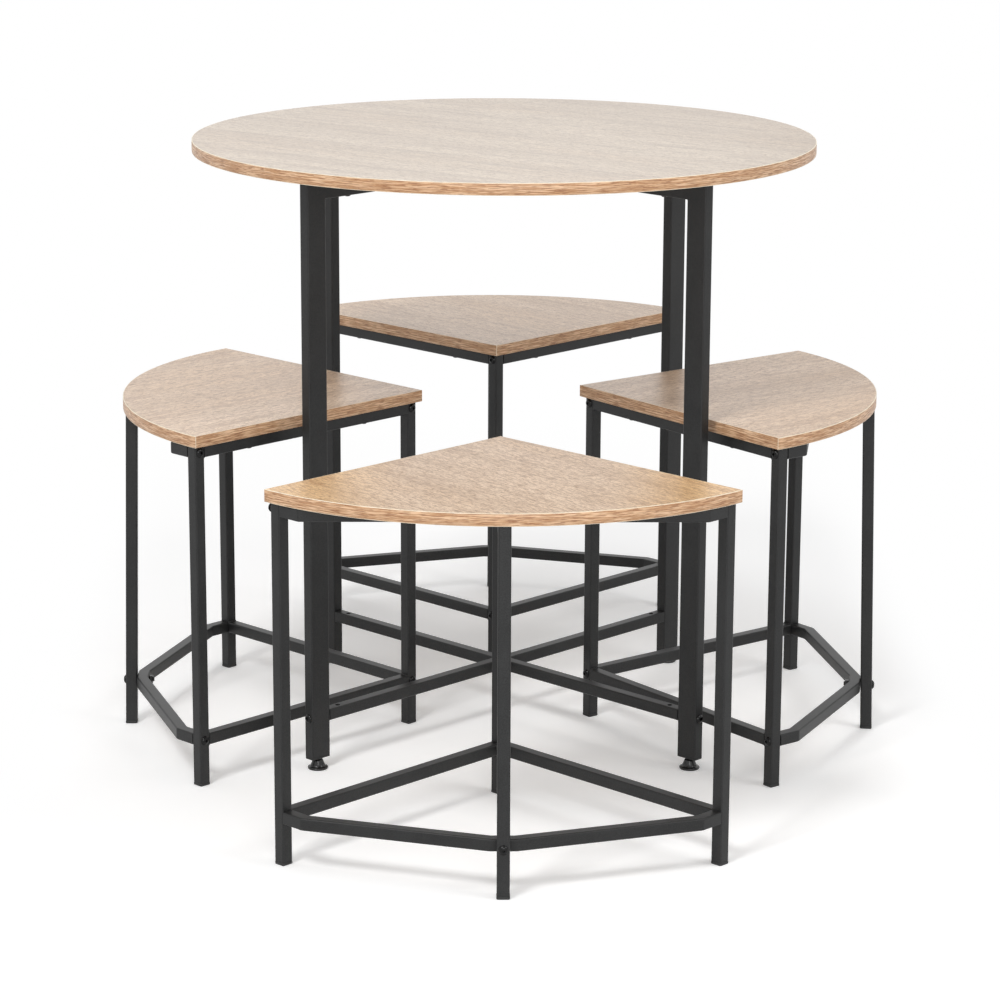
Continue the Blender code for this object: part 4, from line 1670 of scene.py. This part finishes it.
@dataclass
class StoolSet:
    """The four stools, copied from one pattern to where they stand."""

    pattern: StoolPattern
    middle: Vector
    stands: tuple[Stand, ...] = (
        # only the front seat gets the painted reflection of the table legs
        Stand("front", (-0.0068, -0.3112), -90.0, Hand.WELDED_LEFT, -50.0, (0.12, 0.41), 0.0044, 1.0),
        Stand("left", (-0.1053, -0.0450), 180.0, Hand.WELDED_LEFT, 42.0, (0.83, 0.22)),
        Stand("back", (-0.0060, 0.2486), 90.0, Hand.WELDED_LEFT, -47.0, (0.47, 0.65)),
        Stand("right", (0.1002, -0.0120), -8.2, Hand.WELDED_RIGHT, 36.0, (0.66, 0.91)),
    )

    def build(self, rig: Rig) -> None:
        """Copy the pattern to the four stands.

        Args:
            rig: The rig that enrols the copies.
        """
        masters = self.pattern.build()
        for stand in self.stands:
            body = f"stool_{stand.name}"
            tip = self.middle + Vector((*stand.tip, 0))
            place = stand.matrix(tip)
            for name, master in masters.items():
                copy = copy_to(master.piece, f"{stand.name}_{name}", place)
                if name == "corner_bolt":
                    copy.data.transform(Matrix.Translation(place.to_3x3() @ BOLTED.inward * -stand.proud))
                if name == "seat_board":
                    # the seat tones carry painted light against the shade of the table top
                    decor = OakDecor(
                        f"oak_seat_decor_{stand.name}", SEAT_TONES_WITH_PAINTED_LIGHT, tip, stand.grain, stand.shift,
                        stand.amber,
                    )
                    dress(copy, decor.make())
                nodes = [f"{body}_{master.node}"] if master.node else []
                rig.enrol(copy, body, master.slot, nodes, master.weighted)
        scrap(master.piece for master in masters.values())


# the studio


@dataclass(frozen=True)
class Lamp:
    """A square softbox that looks at the middle of the object."""

    name: str
    spot: tuple[float, float, float]
    size: float
    power: float
    aim: tuple[float, float, float] = (0, 0, 0.35)

    def hang(self) -> None:
        """Hang the lamp where it belongs."""
        put_down()
        turn = (Vector(self.aim) - Vector(self.spot)).to_track_quat("-Z", "Y").to_euler()
        bpy.ops.object.light_add(type="AREA", location=self.spot, rotation=turn)
        lamp = bpy.context.object
        lamp.name = f"lamp_{self.name}"
        lamp.data.shape = "SQUARE"
        lamp.data.size = self.size
        lamp.data.energy = self.power


@dataclass
class Studio:
    """The camera, the pale floor and the soft lamps."""

    camera_spot: tuple[float, float, float] = (-0.0549, -4.2112, 1.3495)
    yaw: float = 0.01320
    pitch: float = -0.24422
    roll: float = 0.00455
    focal: float = 3.314
    sensor: float = 36.0
    floor_size: float = 24.0
    floor_level: float = -0.0002
    floor_grey: float = 0.72
    floor_near: tuple[float, float] = (0.97, 0.19)
    floor_mid: tuple[float, float] = (0.45, 0.60)
    near_ends: tuple[float, float] = (0.50, 0.70)
    far_starts: tuple[float, float] = (1.1, 1.9)
    aside_ends: tuple[float, float] = (0.50, 0.63)
    near_middle: float = 0.10
    near_squash: float = 0.75
    sky: float = 0.57
    lamps: tuple[Lamp, ...] = (
        Lamp("key", (-1.90, -3.10, 4.35), 1.1, 103.0),
        Lamp("fill", (0.3, -4.4, 1.3), 1.8, 39.0),
        Lamp("side", (3.2, -1.8, 3.3), 1.6, 38.0),
        Lamp("rear", (-0.2, 3.7, 2.6), 2.0, 10.0),
    )

    def build(self) -> None:
        """Set up all that stands round the object."""
        self.camera()
        self.floor()
        self.world()
        for lamp in self.lamps:
            lamp.hang()
        bpy.context.scene.view_settings.view_transform = "Standard"

    def camera(self) -> None:
        """Stand the camera where the photographer stood."""
        put_down()
        bpy.ops.object.camera_add()
        camera = bpy.context.object
        camera.name = "photo_camera"
        tilt = Matrix.Rotation(math.pi / 2 + self.pitch, 4, "X")
        camera.matrix_world = Matrix.Translation(self.camera_spot) @ spun(-self.yaw) @ tilt @ spun(self.roll)
        camera.data.sensor_width = self.sensor
        camera.data.lens = self.sensor * self.focal
        bpy.context.scene.camera = camera

    @staticmethod
    def seen(desk: NodeDesk, hidden: Socket, shown: Socket) -> Socket:
        """Mix two shaders, so that rays which should find the room white see the second.

        Args:
            desk: The desk to work at.
            hidden: The shader that lights the object.
            shown: The shader that is seen.

        Returns:
            The mixed shader.
        """
        path = desk.node("LightPath").outputs
        direct = desk.math("MAXIMUM", path["Is Camera Ray"], path["Is Glossy Ray"])
        share = desk.math("MAXIMUM", direct, path["Is Transmission Ray"])
        return desk.node("MixShader", {0: share, 1: hidden, 2: shown}).outputs[0]

    @staticmethod
    def matt(desk: NodeDesk, share: float) -> Socket:
        """Return a grey floor that gives back a share of its light."""
        return desk.node("BsdfDiffuse", {"Color": (share, share, share)}).outputs[0]

    @staticmethod
    def glow(desk: NodeDesk, level: float) -> Socket:
        """Return a floor that shines by itself."""
        return desk.node("Emission", {"Strength": level}).outputs[0]

    def lit(self, desk: NodeDesk, share: float, level: float) -> Socket:
        """Return a floor that takes a share of its light from the lamps and glows at a level."""
        return desk.node("AddShader", {0: self.matt(desk, share), 1: self.glow(desk, level)}).outputs[0]

    def floor(self) -> None:
        """Lay the pale floor, which keeps the shadows near the object and is white far off."""
        put_down()
        bpy.ops.mesh.primitive_plane_add(size=self.floor_size, location=UP * self.floor_level)
        floor = settle("pale_floor")
        desk = NodeDesk(bpy.data.materials.new("pale_floor"))
        desk.tree.nodes.remove(desk.shader)
        place = desk.place()
        squash = self.near_squash
        oval = desk.mapped(place, Scale=(1, squash, 0), Location=(0, -self.near_middle * squash, 0))
        reach, near = [
            desk.node("VectorMath", {0: vector}, operation="LENGTH").outputs["Value"]
            for vector in (place, oval)
        ]
        aside = desk.math("ABSOLUTE", desk.node("SeparateXYZ", {"Vector": place}).outputs["X"])
        away = desk.math("MAXIMUM", desk.band(reach, *self.far_starts), desk.band(aside, *self.aside_ends))
        shown = self.lit(desk, *self.floor_near)
        for share, beyond in (
            (desk.band(near, *self.near_ends), self.lit(desk, *self.floor_mid)), (away, self.glow(desk, 1.0)),
        ):
            shown = desk.node("MixShader", {0: share, 1: shown, 2: beyond}).outputs[0]
        both = self.seen(desk, self.matt(desk, self.floor_grey), shown)
        desk.plug(both, desk.tree.nodes["Material Output"].inputs["Surface"])
        floor.data.materials.append(desk.owner)

    def world(self) -> None:
        """Light the room evenly and let it show white."""
        world = bpy.context.scene.world or bpy.data.worlds.new("studio")
        bpy.context.scene.world = world
        desk = NodeDesk(world)
        desk.tree.nodes.clear()
        soft, clear = [
            desk.node("Background", {"Color": WHITE, "Strength": level}).outputs[0]
            for level in (self.sky, 1.0)
        ]
        desk.node("OutputWorld", {"Surface": self.seen(desk, soft, clear)})


def main() -> None:
    """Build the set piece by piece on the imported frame."""
    logging.basicConfig(level=logging.INFO, format="%(message)s")
    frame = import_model()
    low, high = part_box("table_top_board")
    middle = Vector((*((low + high) / 2).xy, 0))
    finishes = Finishes()
    rig = Rig()
    edge = EdgeBand(finishes)
    bolt = ButtonBolt().make(finishes.bolt)
    screw = PanScrew().make(finishes.screw)
    bead = WeldBead().make(finishes.powder)
    RoundTop(edge, middle).build(rig)
    TableLegs(finishes, middle, bolt, screw).build(rig)
    CrossStretcher(finishes, middle, bead).build(rig)
    StoolSet(StoolPattern(finishes, edge, bolt, screw, bead), middle).build(rig)
    scrap([bolt, screw, bead])
    Studio().build()
    put_down()
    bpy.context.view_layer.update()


if __name__ == "__main__":
    main()
